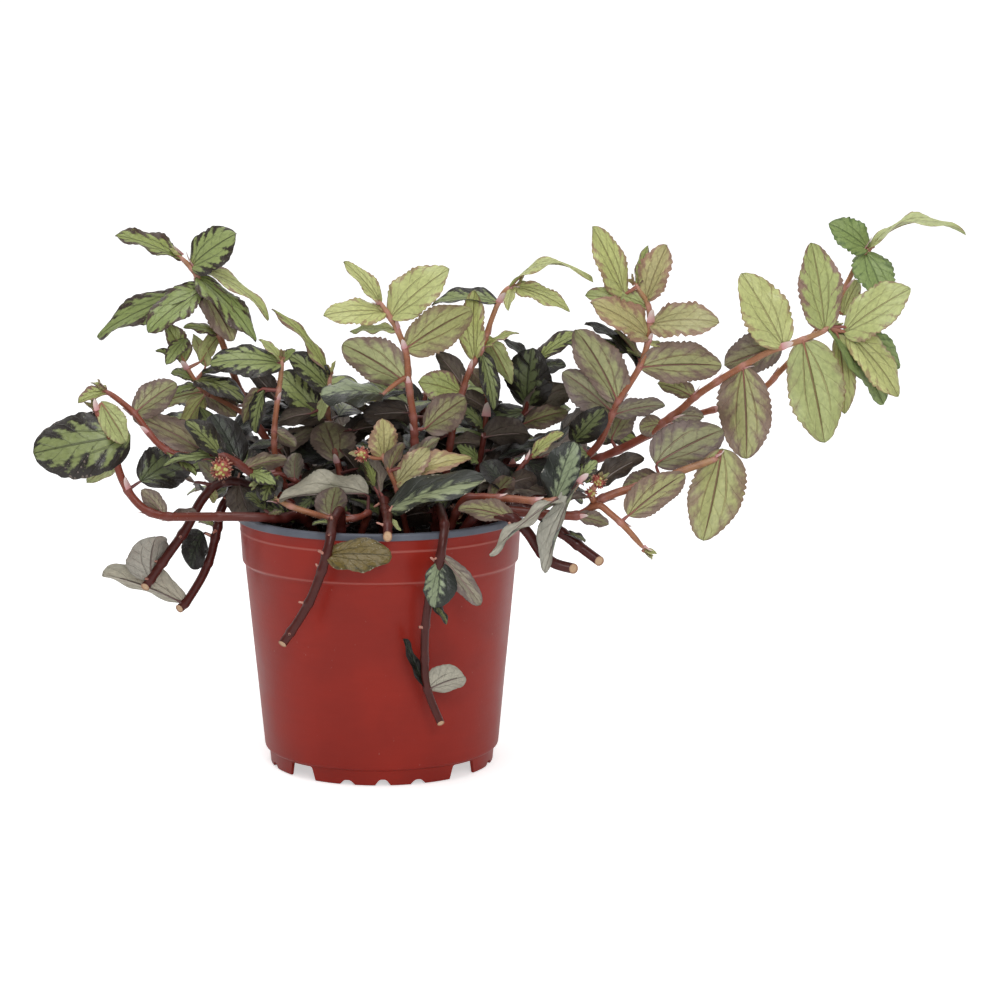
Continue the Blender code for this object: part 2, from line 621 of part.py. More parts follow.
def filling_shoots():
    """The shoots that no place in the photograph gives, by rule."""
    chance = random.Random(FILL_SEED)
    crown = [crown_shoot(index, *ends, chance) for index, ends in enumerate(CROWN_SHOOTS)]
    return crown + [back_shoot(index, angle, chance) for index, angle in enumerate(BACK_ANGLES)]


def curve_through(points):
    """A smooth line through these points, as many short steps."""
    steps = 12
    line = [points[0]]
    for index in range(len(points) - 1):
        before = points[max(index - 1, 0)]
        start, end = points[index], points[index + 1]
        after = points[min(index + 2, len(points) - 1)]
        for step in range(1, steps + 1):
            t = step / steps
            line.append(0.5 * (
                2 * start + (end - before) * t
                + (2 * before - 5 * start + 4 * end - after) * t ** 2
                + (3 * start - before - 3 * end + after) * t ** 3
            ))
    return line


def rings(line):
    """The few points of a line that its tube needs: close together only where it bends."""
    places = [line[0]]
    heading, travelled = None, 0
    for start, end in zip(line, line[1:]):
        step = end - start
        if step.length < 0.01:
            continue
        heading = heading or step.copy()
        travelled += step.length
        if travelled > RING_SPACING or step.angle(heading) > RING_TURN and travelled > 2:
            places.append(end)
            heading, travelled = None, 0
    if (places[-1] - line[-1]).length < 2 and len(places) > 2:
        places.pop()
    return places + [line[-1]]


def finely(places):
    """The same run of straight pieces, as points about 1 mm apart that stop short of its
    ends, so that what grows from one starts well inside the stem."""
    fine = []
    for start, end in zip(places, places[1:]):
        steps = max(1, round((end - start).length))
        fine += [start.lerp(end, (step + 0.37) / steps) for step in range(steps)]
    return fine[1:-1]


def stem_lines(shoot):
    """The centre lines of a shoot's stem and branches, as the points of their tubes."""
    x, y = shoot["root"]
    above = Vector((x, y, SOIL_TOP + SOIL_CROWN + 3))
    routes = [[above] + [seen(*spot) for spot in shoot["route"]]]
    routes += [[seen(*spot) for spot in route] for route in shoot.get("branches", [])]
    return [rings(curve_through(route)) for route in routes]


def new_mesh_object(name, mesh, collection, material=None):
    thing = bpy.data.objects.new(name, mesh)
    collection.objects.link(thing)
    if material:
        mesh.materials.append(material)
    return thing


def finish(name, colour, roughness):
    material = bpy.data.materials.new(name)
    material.use_nodes = True
    shader = material.node_tree.nodes["Principled BSDF"]
    shader.inputs["Base Color"].default_value = (*colour, 1)
    shader.inputs["Roughness"].default_value = roughness
    shader.inputs["Metallic"].default_value = 0
    return material


def tube(name, points, radii, collection):
    """A closed tube along these points, with 6 sides."""
    curve = bpy.data.curves.new(name, "CURVE")
    curve.dimensions = "3D"
    curve.bevel_depth = MM
    curve.bevel_resolution = 1
    curve.use_fill_caps = True
    spline = curve.splines.new("POLY")
    spline.points.add(len(points) - 1)
    for index, point in enumerate(points):
        share = index / (len(points) - 1)
        spline.points[index].co = (*(point * MM), 1)
        spline.points[index].radius = radii[0] + (radii[1] - radii[0]) * share
    guide = bpy.data.objects.new(name + "_curve", curve)
    collection.objects.link(guide)
    graph = bpy.context.evaluated_depsgraph_get()
    mesh = bpy.data.meshes.new_from_object(guide.evaluated_get(graph))
    bpy.data.objects.remove(guide)
    bpy.data.curves.remove(curve)
    weld(mesh)
    mesh.name = name
    return new_mesh_object(name, mesh, collection)


def turns_over(gone, kept):
    """Whether a face would flip or collapse if one corner moved onto its neighbour."""
    for face in gone.link_faces:
        if kept in face.verts:
            continue
        a, b, c = (kept.co if corner == gone else corner.co for corner in face.verts)
        normal = (b - a).cross(c - a)
        if normal.length < 1e-9 or normal.normalized().dot(face.normal) < 0.5:
            return True
    return False


def merge_close(mesh):
    """Merges the crowded points that a union leaves round each joint, where that keeps
    the body closed and its faces as they lie."""
    for distance in MERGES:
        shape = bmesh.new()
        shape.from_mesh(mesh)
        bmesh.ops.triangulate(shape, faces=shape.faces)
        for edge in sorted(shape.edges, key=lambda edge: edge.calc_length()):
            if not edge.is_valid or edge.calc_length() > distance * MM:
                continue
            kept, gone = edge.verts
            around = [{side.other_vert(end) for side in end.link_edges} for end in edge.verts]
            if len(around[0] & around[1]) != 2:
                continue
            if turns_over(gone, kept):
                kept, gone = gone, kept
                if turns_over(gone, kept):
                    continue
            bmesh.ops.pointmerge(shape, verts=[kept, gone], merge_co=kept.co)
            shape.normal_update()
        closed = all(len(edge.link_faces) == 2 for edge in shape.edges)
        if closed and not crosses_itself(shape):
            shape.to_mesh(mesh)
            shape.free()
            return
        shape.free()


def crosses_itself(shape):
    """Whether two faces that share no corner meet."""
    tree = BVHTree.FromBMesh(shape)
    shape.faces.ensure_lookup_table()
    corners = [set(face.verts) for face in shape.faces]
    return any(not corners[a] & corners[b] for a, b in tree.overlap(tree))


def drop_scraps(mesh):
    """Removes the loose crumbs that a union leaves, which is all but the largest body."""
    shape = bmesh.new()
    shape.from_mesh(mesh)
    bodies, left = [], set(shape.verts)
    while left:
        body, reached = [], [left.pop()]
        while reached:
            corner = reached.pop()
            body.append(corner)
            for edge in corner.link_edges:
                other = edge.other_vert(corner)
                if other in left:
                    left.remove(other)
                    reached.append(other)
        bodies.append(body)
    bodies.sort(key=len)
    for scrap in bodies[:-1]:
        bmesh.ops.delete(shape, geom=scrap, context="VERTS")
    shape.to_mesh(mesh)
    shape.free()


def weld(mesh):
    shape = bmesh.new()
    shape.from_mesh(mesh)
    bmesh.ops.remove_doubles(shape, verts=shape.verts, dist=0.00001)
    bmesh.ops.recalc_face_normals(shape, faces=shape.faces)
    shape.to_mesh(mesh)
    shape.free()


def turned(name, profile, collection, material):
    """A body turned round Z from a profile of (radius, height) that runs down its outer side."""
    mesh = bpy.data.meshes.new(name)
    points = [(radius * MM, 0, height * MM) for radius, height in profile]
    mesh.from_pydata(points, [(i, i + 1) for i in range(len(points) - 1)], [])
    body = new_mesh_object(name, mesh, collection, material)
    screw = body.modifiers.new("turn", "SCREW")
    screw.steps = screw.render_steps = POT_SIDES
    screw.use_merge_vertices = True
    screw.merge_threshold = 0.00001
    screw.use_smooth_shade = True
    return body


def wall_radius(height):
    """The outer radius of the pot's wall below its collar."""
    top = COLLAR_RADIUS - 2 * COLLAR_STEP
    return BODY_RADIUS + (top - BODY_RADIUS) * (height - FOOT_HEIGHT) / (COLLAR_FOOT - FOOT_HEIGHT)


def inner_radius(height):
    """The radius of the pot's inside, which is one straight taper."""
    foot, top = BODY_RADIUS - WALL, COLLAR_RADIUS - WALL
    return foot + (top - foot) * (height - FOOT_HEIGHT) / (POT_HEIGHT - FOOT_HEIGHT)


def pot_profile():
    collar_foot = COLLAR_RADIUS - COLLAR_STEP
    lip = POT_HEIGHT - LIP_HEIGHT
    foot = BODY_RADIUS - FOOT_INSET
    floor = FLOOR_HEIGHT + WALL
    return [
        (COLLAR_RADIUS - WALL, POT_HEIGHT), (LIP_RADIUS, POT_HEIGHT), (LIP_RADIUS, lip),
        (COLLAR_RADIUS, lip), (collar_foot, COLLAR_FOOT), (wall_radius(COLLAR_FOOT), COLLAR_FOOT - 1),
        (BODY_RADIUS, FOOT_HEIGHT), (foot, FOOT_HEIGHT - 0.4), (foot - 0.6, 0),
        (foot - 0.6 - WALL, 0), (foot - 0.4 - WALL, FLOOR_HEIGHT), (0, FLOOR_HEIGHT),
        (0, floor), (inner_radius(floor), floor), (COLLAR_RADIUS - WALL, POT_HEIGHT),
    ]


def cut_foot(pot, cutters):
    """Cuts the drain gaps and the small notches through the foot ring."""
    foot = BODY_RADIUS - FOOT_INSET
    places = [(angle, GAP_WIDTH, GAP_HEIGHT) for angle in DRAIN_GAPS]
    for angle in DRAIN_GAPS:
        places += [(angle + 45 + offset, NOTCH_WIDTH, height) for offset, height in NOTCHES]
    for angle, width, height in places:
        shape = bmesh.new()
        bmesh.ops.create_cube(shape, size=MM)
        for corner in shape.verts:
            narrow = 0.72 if corner.co.z > 0 else 1
            corner.co.x *= width * narrow
            corner.co.y *= 10
            corner.co.z *= 2 * height
        mesh = bpy.data.meshes.new("foot_cutter")
        shape.to_mesh(mesh)
        shape.free()
        cutter = new_mesh_object("foot_cutter", mesh, cutters)
        turn = math.radians(angle + FOOT_TURN)
        cutter.location = (math.sin(turn) * foot * MM, -math.cos(turn) * foot * MM, 0)
        cutter.rotation_euler = (0, 0, turn)
        cutter.hide_render = True
        cutter.display_type = "WIRE"
    cut = pot.modifiers.new("foot_gaps", "BOOLEAN")
    cut.operation = "DIFFERENCE"
    cut.operand_type = "COLLECTION"
    cut.collection = cutters


def soil_profile():
    floor = FLOOR_HEIGHT + WALL + GAP
    rim = inner_radius(SOIL_TOP) - GAP
    return [
        (0, SOIL_TOP + SOIL_CROWN), (0.6 * rim, SOIL_TOP + 0.7 * SOIL_CROWN),
        (rim, SOIL_TOP), (inner_radius(floor) - GAP, floor), (0, floor),
    ]


def cut_holes(soil, shoots, cutters):
    """Cuts a plain round hole in the soil for the foot of each stem."""
    for shoot in shoots:
        x, y = shoot["root"]
        shape = bmesh.new()
        radius = (shoot["radii"][0] + GAP) / math.cos(math.pi / HOLE_SIDES)
        bmesh.ops.create_cone(
            shape, cap_ends=True, segments=HOLE_SIDES, radius1=radius * MM, radius2=radius * MM,
            depth=2 * HOLE_DEPTH * MM,
        )
        mesh = bpy.data.meshes.new("stem_hole")
        shape.to_mesh(mesh)
        shape.free()
        cutter = new_mesh_object("stem_hole", mesh, cutters)
        cutter.location = (x * MM, y * MM, (SOIL_TOP + SOIL_CROWN) * MM)
        cutter.hide_render = True
        cutter.display_type = "WIRE"
    cut = soil.modifiers.new("stem_holes", "BOOLEAN")
    cut.operation = "DIFFERENCE"
    cut.operand_type = "COLLECTION"
    cut.collection = cutters


class Blade:
    """One leaf's blade: its place, its frame and its outline."""

    def __init__(self, stem_point, base, tip, width, turn, fold, arch):
        self.stem_point = stem_point
        self.has_petiole = (base - stem_point).length > NEAR_STEM
        self.base = base if self.has_petiole else stem_point
        self.tip = tip
        self.length = (tip - self.base).length
        self.width = width
        along = (tip - stem_point).normalized()
        to_eye = (EYE - self.base).normalized()
        to_eye = (to_eye - along * to_eye.dot(along)).normalized()
        upwards = along.cross(to_eye)
        if upwards.z < 0 or (abs(upwards.z) < 0.2 and upwards.x < 0):
            upwards = -upwards
        turn = math.radians(turn)
        self.along = along
        self.normal = to_eye * math.cos(turn) + upwards * math.sin(turn)
        self.across = self.normal.cross(along)
        self.fold = math.radians(fold)
        self.arch = arch / 100

    def point(self, share, side, half_width):
        """A point of the blade's middle surface: side is -1, 0 or 1, and share is below 0
        along the petiole."""
        if share < 0:
            middle = self.base.lerp(self.stem_point, -share)
        else:
            middle = self.base.lerp(self.tip, share)
            middle += self.normal * self.arch * self.length * 4 * share * (1 - share)
        off = abs(side) * half_width
        sideways = self.across * side * half_width * math.cos(self.fold)
        return middle + sideways + self.normal * off * math.sin(self.fold)

    def outline(self):
        """The (share along, half width) of each edge point, which go in and out as teeth."""
        count = next(count for length, count in TEETH if self.length >= length)
        points = [(-1, 0), (0, PETIOLE_RADIUS)] if self.has_petiole else [(0, 0)]
        for index in range(count):
            share = (index + 0.7) / (count + 0.25)
            half = self.width / 2 * math.sin(math.pi * share ** 0.78) ** 0.72
            points.append((share, half * (0.93 if index % 2 else 1.06)))
        return points + [(1, 0)]

    def shape(self, thickness, margin=0, start=-1):
        """The blade from this share on as (points, faces), its two faces split alike."""
        edge = [(share, half + margin) for share, half in self.outline() if share >= start]
        ribs = [share for share in (0, 0.5, 1) if share >= start]
        if self.has_petiole and start < 0:
            ribs.insert(0, -1)
        points, faces = [], []
        for lift in (thickness / 2, -thickness / 2):
            rise = self.normal * lift
            for share in ribs:
                beyond = margin / self.length if share == 1 else 0
                points.append(self.point(share + beyond, 0, 0) + rise)
            for side in (-1, 1):
                points += [self.point(share, side, half) + rise for share, half in edge[1:-1]]
        last = len(ribs) - 1
        inner = len(edge) - 2
        rims = [[0] + [last + 1 + side * inner + i for i in range(inner)] + [last] for side in (0, 1)]
        for side, rim in enumerate(rims):
            at_edge, at_rib = 0, 0
            while at_edge < inner + 1 or at_rib < last:
                edge_next = edge[at_edge + 1][0] if at_edge < inner + 1 else 9
                rib_next = ribs[at_rib + 1] if at_rib < last else 9
                if edge_next <= rib_next:
                    face = (rim[at_edge], at_rib, rim[at_edge + 1])
                    at_edge += 1
                else:
                    face = (rim[at_edge], at_rib, at_rib + 1)
                    at_rib += 1
                if len(set(face)) == 3:
                    faces.append(face if side else face[::-1])
        size = len(points) // 2
        faces += [tuple(corner + size for corner in reversed(face)) for face in faces]
        loop = rims[1] + list(reversed(rims[0]))[1:-1]
        for a, b in zip(loop, loop[1:] + loop[:1]):
            faces += [(a, b, b + size), (a, b + size, a + size)]
        return points, faces


def touches(blade, obstacles, start=-1):
    """Whether a blade, from this share on and with its clearance, meets any obstacle."""
    points, faces = blade.shape(BLADE_THICKNESS + 2 * CLEARANCE, CLEARANCE, start)
    low, high = extent(points)
    tree = None
    for other_low, other_high, other in obstacles:
        if all(low[i] < other_high[i] and high[i] > other_low[i] for i in range(3)):
            tree = tree or BVHTree.FromPolygons(points, faces)
            if tree.overlap(other):
                return True
    return False


def extent(points):
    return tuple([pick(p[axis] for p in points) for axis in range(3)] for pick in (min, max))


def obstacle(points, faces):
    return *extent(points), BVHTree.FromPolygons(points, faces)


def mesh_obstacle(thing):
    graph = bpy.context.evaluated_depsgraph_get()
    mesh = thing.evaluated_get(graph).to_mesh()
    points = [thing.matrix_world @ corner.co / MM for corner in mesh.vertices]
    faces = [tuple(face.vertices) for face in mesh.polygons]
    return obstacle(points, faces)


# How a leaf that meets another shoot is bent clear: its tip moves along the line of sight
# by a share of its length and its turn changes, least first; failing that it shrinks
BENDS = sorted(
    ((move, twist) for move in (0, -0.15, 0.15, -0.3, 0.3, -0.5, 0.5, 0.75, -0.75)
     for twist in (0, 18, -18, 36, -36)),
    key=lambda bend: abs(bend[0]) + abs(bend[1]) / 90,
)
SHRINKS = (1, 0.82, 0.66, 0.5)
OWN_START = 0.25  # nearer to its stem than this, a leaf may meet its own shoot's leaves


def bent_clear(leaf, lines, others, own):
    """The blade of this leaf, bent clear of other shoots and if it can be of its own."""
    (base_x, base_z), (tip_x, tip_z), lean, width, turn, fold, arch, _ = leaf

    def apart(place):
        across, up, _ = as_seen(place)
        return (across - base_x) ** 2 + (up - base_z) ** 2

    stem_point = min((place for line in lines for place in finely(line)), key=apart)
    base = seen(base_x, base_z, stem_point.y)
    length = math.dist((base_x, base_z), (tip_x, tip_z))
    fallback = None
    for shrink in SHRINKS:
        for move, twist in BENDS:
            across = base_x + (tip_x - base_x) * shrink
            up = base_z + (tip_z - base_z) * shrink
            tip = seen(across, up, stem_point.y + (lean + move * length) * shrink)
            blade = Blade(stem_point, base, tip, width * shrink, turn + twist, fold, arch)
            if touches(blade, others):
                continue
            if not touches(blade, own, OWN_START):
                return blade
            fallback = fallback or blade
        if fallback:
            break
    return fallback


def bloom(name, centre, radius, collection):
    """A knobbly cluster of small florets round a core."""
    shape = bmesh.new()
    bmesh.ops.create_icosphere(shape, subdivisions=2, radius=radius * MM)
    for index, corner in enumerate(shape.verts):
        corner.co *= 1.12 if index % 2 else 0.86
        corner.co += centre * MM
    mesh = bpy.data.meshes.new(name)
    shape.to_mesh(mesh)
    shape.free()
    return new_mesh_object(name, mesh, collection)


def mean_tone(leaves):
    tones = [leaf[-1] for leaf in leaves] or [OLD]
    return [sum(TONE_COLOURS[tone][i] for tone in tones) / len(tones) for i in range(3)]


def fuse(stem, pieces):
    """Joins everything in a collection to a stem with one Boolean union, and applies it."""
    if not pieces.objects:
        return
    join = stem.modifiers.new("join", "BOOLEAN")
    join.operation = "UNION"
    join.operand_type = "COLLECTION"
    join.collection = pieces
    join.solver = "MANIFOLD"
    graph = bpy.context.evaluated_depsgraph_get()
    mesh = bpy.data.meshes.new_from_object(stem.evaluated_get(graph))
    stem.modifiers.remove(join)
    material = stem.data.materials[0]
    stem.data = mesh
    if not mesh.materials:
        mesh.materials.append(material)
    drop_scraps(mesh)
    merge_close(mesh)
    for piece in list(pieces.objects):
        bpy.data.objects.remove(piece)
    bpy.data.collections.remove(pieces)


def stand_over_origin(plant, cutters):
    """Moves everything sideways so that the origin is the middle of the plant's box."""
    graph = bpy.context.evaluated_depsgraph_get()
    corners = [
        thing.matrix_world @ Vector(corner)
        for thing in plant.objects for corner in thing.evaluated_get(graph).bound_box
    ]
    low, high = extent(corners)
    for collection in (plant, *cutters):
        for thing in collection.objects:
            thing.location.x -= (low[0] + high[0]) / 2
            thing.location.y -= (low[1] + high[1]) / 2


def build_plant():
    for thing in list(bpy.data.objects):
        bpy.data.objects.remove(thing)
    scene = bpy.context.scene.collection
    plant = bpy.data.collections.new("potted_watermelon_begonia")
    foot_cutters = bpy.data.collections.new("foot_cutters")
    hole_cutters = bpy.data.collections.new("hole_cutters")
    for collection in (plant, foot_cutters, hole_cutters):
        scene.children.link(collection)

    shoots = SHOOTS + filling_shoots()
    pot = turned("pot", pot_profile(), plant, finish("pot_plastic", (0.27, 0.030, 0.022), 0.38))
    soil = turned("soil", soil_profile(), plant, finish("soil", (0.010, 0.007, 0.005), 0.95))
    obstacles = {"pot": [mesh_obstacle(pot)], "soil": [mesh_obstacle(soil)]}
    cut_foot(pot, foot_cutters)
    cut_holes(soil, shoots, hole_cutters)

    stems, lines = {}, {}
    for shoot in shoots:
        name = shoot["name"]
        lines[name] = stem_lines(shoot)
        foot = Vector((*shoot["root"], SOIL_TOP + SOIL_CROWN - HOLE_DEPTH + GAP))
        points = [foot] + lines[name][0]
        stems[name] = tube(name, points, shoot["radii"], plant)
        stems[name].data.materials.append(finish(name, mean_tone(shoot["leaves"]), 0.42))
        obstacles[name] = [mesh_obstacle(stems[name])]

    for shoot in shoots:
        name = shoot["name"]
        pieces = bpy.data.collections.new(name + "_pieces")
        scene.children.link(pieces)
        for line in lines[name][1:]:
            branch = tube(name + "_branch", line, (shoot["radii"][1],) * 2, pieces)
            obstacles[name].append(mesh_obstacle(branch))
        others = [item for key, items in obstacles.items() if key != name for item in items]
        for leaf in shoot["leaves"]:
            blade = bent_clear(leaf, lines[name], others, obstacles[name])
            if blade is None:
                continue
            points, faces = blade.shape(BLADE_THICKNESS)
            obstacles[name].append(obstacle(points, faces))
            mesh = bpy.data.meshes.new(name + "_leaf")
            mesh.from_pydata([place * MM for place in points], [], faces)
            weld(mesh)
            new_mesh_object(name + "_leaf", mesh, pieces)
        for spot, radius in shoot.get("blooms", []):
            cluster = bloom(name + "_bloom", seen(*spot), radius, pieces)
            obstacles[name].append(mesh_obstacle(cluster))
        fuse(stems[name], pieces)
    stand_over_origin(plant, (foot_cutters, hole_cutters))


build_plant()
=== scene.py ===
"""Looks of the potted watermelon begonia, a trailing foliage plant in a plastic nursery pot.

Metres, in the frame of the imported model. Sizes of the plant are in millimetres from the
pot's axis, as in the CAD source, and become metres where a mesh is made.
"""

import json
import math
import random

import bmesh
import bpy
import numpy as np
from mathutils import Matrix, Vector
from mathutils.bvhtree import BVHTree

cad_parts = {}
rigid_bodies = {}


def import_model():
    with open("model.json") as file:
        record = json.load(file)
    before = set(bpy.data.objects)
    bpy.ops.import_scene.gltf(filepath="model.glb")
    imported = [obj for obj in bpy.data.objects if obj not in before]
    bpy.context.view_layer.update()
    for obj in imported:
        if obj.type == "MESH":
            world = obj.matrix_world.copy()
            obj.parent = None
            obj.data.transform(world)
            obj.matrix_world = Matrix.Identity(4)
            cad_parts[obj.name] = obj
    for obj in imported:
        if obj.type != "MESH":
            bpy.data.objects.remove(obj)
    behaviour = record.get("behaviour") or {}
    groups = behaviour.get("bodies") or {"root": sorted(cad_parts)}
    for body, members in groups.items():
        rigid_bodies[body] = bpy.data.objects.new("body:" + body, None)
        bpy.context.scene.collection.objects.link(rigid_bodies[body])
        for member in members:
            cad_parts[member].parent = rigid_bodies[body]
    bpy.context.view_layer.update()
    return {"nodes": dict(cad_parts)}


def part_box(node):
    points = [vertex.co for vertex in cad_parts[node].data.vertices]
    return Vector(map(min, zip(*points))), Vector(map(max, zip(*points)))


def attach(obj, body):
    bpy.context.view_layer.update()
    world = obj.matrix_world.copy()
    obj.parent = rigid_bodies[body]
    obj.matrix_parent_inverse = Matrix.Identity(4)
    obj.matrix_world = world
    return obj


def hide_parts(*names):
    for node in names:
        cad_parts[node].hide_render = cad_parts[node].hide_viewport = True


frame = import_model()

# Camera, light and floor
# A long lens looks slightly down on the plant, which stands on a white sweep. The light is
# that of a white tent, with a large soft lamp above it and one in front, to the right.
MM = 0.001
pot_low, pot_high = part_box("pot")
POT_AXIS = Vector(((pot_low.x + pot_high.x) / 2, (pot_low.y + pot_high.y) / 2, 0))
EYE = Vector((51, -1350, 346))  # mm from the pot's axis
CAMERA_PITCH = 9.8
CAMERA_LENS = 115.7
CAMERA_SENSOR = 36
CAMERA_FAR = 20


def in_frame(place):
    """A place in mm from the pot's axis, as metres in the model's frame."""
    return POT_AXIS + Vector(place) * MM


def in_scene(name, data):
    """A new object with this data, linked to the scene."""
    made = bpy.data.objects.new(name, data)
    bpy.context.scene.collection.objects.link(made)
    return made


camera_data = bpy.data.cameras.new("camera")
camera_data.lens = CAMERA_LENS
camera_data.sensor_width = CAMERA_SENSOR
camera_data.clip_end = CAMERA_FAR
camera = in_scene("camera", camera_data)
camera.location = in_frame(EYE)
camera.rotation_euler = (math.radians(90 - CAMERA_PITCH), 0, 0)
bpy.context.scene.camera = camera
bpy.context.scene.view_settings.view_transform = "Standard"


def feed(tree, socket, value):
    """Joins an input to the output of another node, or gives it a number or a colour."""
    if isinstance(value, bpy.types.NodeSocket):
        tree.links.new(value, socket)
    else:
        socket.default_value = value


def add_node(tree, kind, inputs=(), **settings):
    """Adds a node with these settings, and feeds these of its inputs."""
    node = tree.nodes.new(kind)
    for name, value in settings.items():
        setattr(node, name, value)
    for name, value in dict(inputs).items():
        feed(tree, node.inputs[name], value)
    return node


def maths(tree, operation, first, second=0.0, third=0.0, clamp=False):
    """The output of a Math node."""
    inputs = {0: first, 1: second, 2: third}
    node = add_node(tree, "ShaderNodeMath", inputs, operation=operation, use_clamp=clamp)
    return node.outputs[0]


def remap(tree, value, low, high, new_low=0.0, new_high=1.0, smooth=True):
    """A value brought smoothly from one range to another."""
    node = add_node(
        tree, "ShaderNodeMapRange",
        {"Value": value, "From Min": low, "From Max": high, "To Min": new_low, "To Max": new_high},
        interpolation_type="SMOOTHSTEP" if smooth else "LINEAR",
    )
    return node.outputs["Result"]


def new_material(name):
    """A material with its node tree and its Principled shader."""
    material = bpy.data.materials.new(name)
    material.use_nodes = True
    return material, material.node_tree, material.node_tree.nodes["Principled BSDF"]


def paint(tree, shader, colours, roughness, normal=None):
    """Gives a material's shader its colour and roughness, and its relief if it has one."""
    feed(tree, shader.inputs["Base Color"], colours)
    feed(tree, shader.inputs["Roughness"], roughness)
    if normal is not None:
        feed(tree, shader.inputs["Normal"], normal)


# The tent is open at the viewer's side, dim at its sides and bright behind the plant; its
# backdrop shows pure white
ROOM_LIGHT = 0.24
SIDE_LIGHT = 0.12
TENT_LIGHT = 0.95
TENT_TOP = 0.34
world = bpy.data.worlds.new("white_tent")
world.use_nodes = True
tree = world.node_tree
backdrop = tree.nodes["Background"]
backdrop.inputs["Color"].default_value = (1, 1, 1, 1)
heading = add_node(tree, "ShaderNodeTexCoord").outputs["Generated"]
parts = add_node(tree, "ShaderNodeSeparateXYZ", {0: heading})
tent = remap(tree, parts.outputs[1], -0.95, -0.5, ROOM_LIGHT, SIDE_LIGHT)
tent = maths(tree, "ADD", tent, remap(tree, parts.outputs[1], 0.0, 0.55, 0.0, TENT_LIGHT))
tent = maths(tree, "ADD", tent, remap(tree, parts.outputs[2], 0.2, 1.0, 0.0, TENT_TOP))
in_view = add_node(tree, "ShaderNodeLightPath").outputs["Is Camera Ray"]
strength = maths(tree, "MAXIMUM", tent, in_view)
tree.links.new(strength, backdrop.inputs["Strength"])
bpy.context.scene.world = world

LAMPS = [
    # name, place in mm, size in mm, watts
    ("lamp_above", (-150, -420, 1250), 800, 5.2),
    ("lamp_front", (260, -1460, 800), 650, 7.6),
]
LAMP_AIM = 110
for name, place, size, power in LAMPS:
    lamp_data = bpy.data.lights.new(name, "AREA")
    lamp_data.shape = "DISK"
    lamp_data.size = size * MM
    lamp_data.energy = power
    lamp = in_scene(name, lamp_data)
    lamp.location = in_frame(place)
    aim = in_frame((0, 0, LAMP_AIM)) - lamp.location
    lamp.rotation_euler = aim.to_track_quat("-Z", "Y").to_euler()

FLOOR_REACH = 6
FLOOR_SINK = 0.0002
FLOOR_GLOW = 0.08
BACKDROP_GLOW = 0.46
floor_mesh = bpy.data.meshes.new("floor")
floor_mesh.from_pydata(
    [(x * FLOOR_REACH, y * FLOOR_REACH, 0) for x, y in ((-1, -1), (1, -1), (1, 1), (-1, 1))],
    [], [(0, 1, 2, 3)],
)
floor = in_scene("floor", floor_mesh)
floor.location.z = -FLOOR_SINK
floor_material, tree, shader = new_material("white_sweep")
paint(tree, shader, (0.86, 0.86, 0.86, 1), 0.9)
shader.inputs["Emission Color"].default_value = (1, 1, 1, 1)
in_view = add_node(tree, "ShaderNodeLightPath").outputs["Is Camera Ray"]
glow = maths(tree, "MULTIPLY_ADD", in_view, BACKDROP_GLOW, FLOOR_GLOW)
tree.links.new(glow, shader.inputs["Emission Strength"])
floor_mesh.materials.append(floor_material)

# Nursery pot
# One thin wall of terracotta-red polypropylene, moulded in one shot: a rolled lip coloured
# blue-grey all round, a straight collar above a shallow step, and a ring foot with
# wide drain gaps and small notches. The inside is the same plastic, coloured dark.
POT_HEIGHT = 109
LIP_RADIUS = 61.5
LIP_HEIGHT = 2.9
COLLAR_RADIUS = 60
COLLAR_FOOT = 88
COLLAR_STEP = 1.1
BODY_RADIUS = 50.2
FOOT_HEIGHT = 7
FOOT_INSET = 1.8
WALL = 1.4
FLOOR_HEIGHT = 6
POT_SIDES = 160
RIDGE_HEIGHT = 101.4
RIDGE_DEPTH = 0.14
DRAIN_GAPS = (45, 135, 225, 315)  # degrees round the foot, from the front
NOTCHES = ((-18, 2.0), (0, 2.6), (18, 2.0))  # degrees from a foot's middle, and height
FOOT_TURN = 2.5
GAP_WIDTH = 14.5
GAP_HEIGHT = 6
GAP_NARROWING = 0.82  # of a cut's top against its middle
NOTCH_WIDTH = 5.4
NOTCH_NARROWING = 0.5
CUT_DEPTH = 10
CUT_ROUNDING = 0.9
ARC_STEPS = 4
LONGEST_ARC = 0.45  # of the shorter side that meets a corner
POT_CREASE = 32
INSIDE_MARK = 1.2  # below the lip, where the dark inside starts
INNER_SKIN = 0.2
PALE_LINES = ((RIDGE_HEIGHT, 0.42), (COLLAR_FOOT, 0.36))  # pale lines along the ridge and the collar's foot, each at this strength
LINE_WIDTH = 0.45


def wall_radius(height):
    """The outer radius of the pot's wall below its collar."""
    top = COLLAR_RADIUS - 2 * COLLAR_STEP
    return BODY_RADIUS + (top - BODY_RADIUS) * (height - FOOT_HEIGHT) / (COLLAR_FOOT - FOOT_HEIGHT)


def inner_radius(height):
    """The radius of the pot's inside, which is one straight taper."""
    foot, top = BODY_RADIUS - WALL, COLLAR_RADIUS - WALL
    return foot + (top - foot) * (height - FOOT_HEIGHT) / (POT_HEIGHT - FOOT_HEIGHT)


def rounded(corners, radii):
    """A profile with each corner cut to a short arc of about this radius."""
    profile = []
    for index, (corner, radius) in enumerate(zip(corners, radii)):
        here = Vector(corner)
        if radius == 0:
            profile.append(here)
            continue
        before = Vector(corners[index - 1])
        after = Vector(corners[(index + 1) % len(corners)])
        ends = [
            here + (other - here).normalized() * min(radius, (other - here).length * LONGEST_ARC)
            for other in (before, after)
        ]
        for step in range(ARC_STEPS + 1):
            t = step / ARC_STEPS
            profile.append(ends[0] * (1 - t) ** 2 + here * 2 * t * (1 - t) + ends[1] * t ** 2)
    return profile


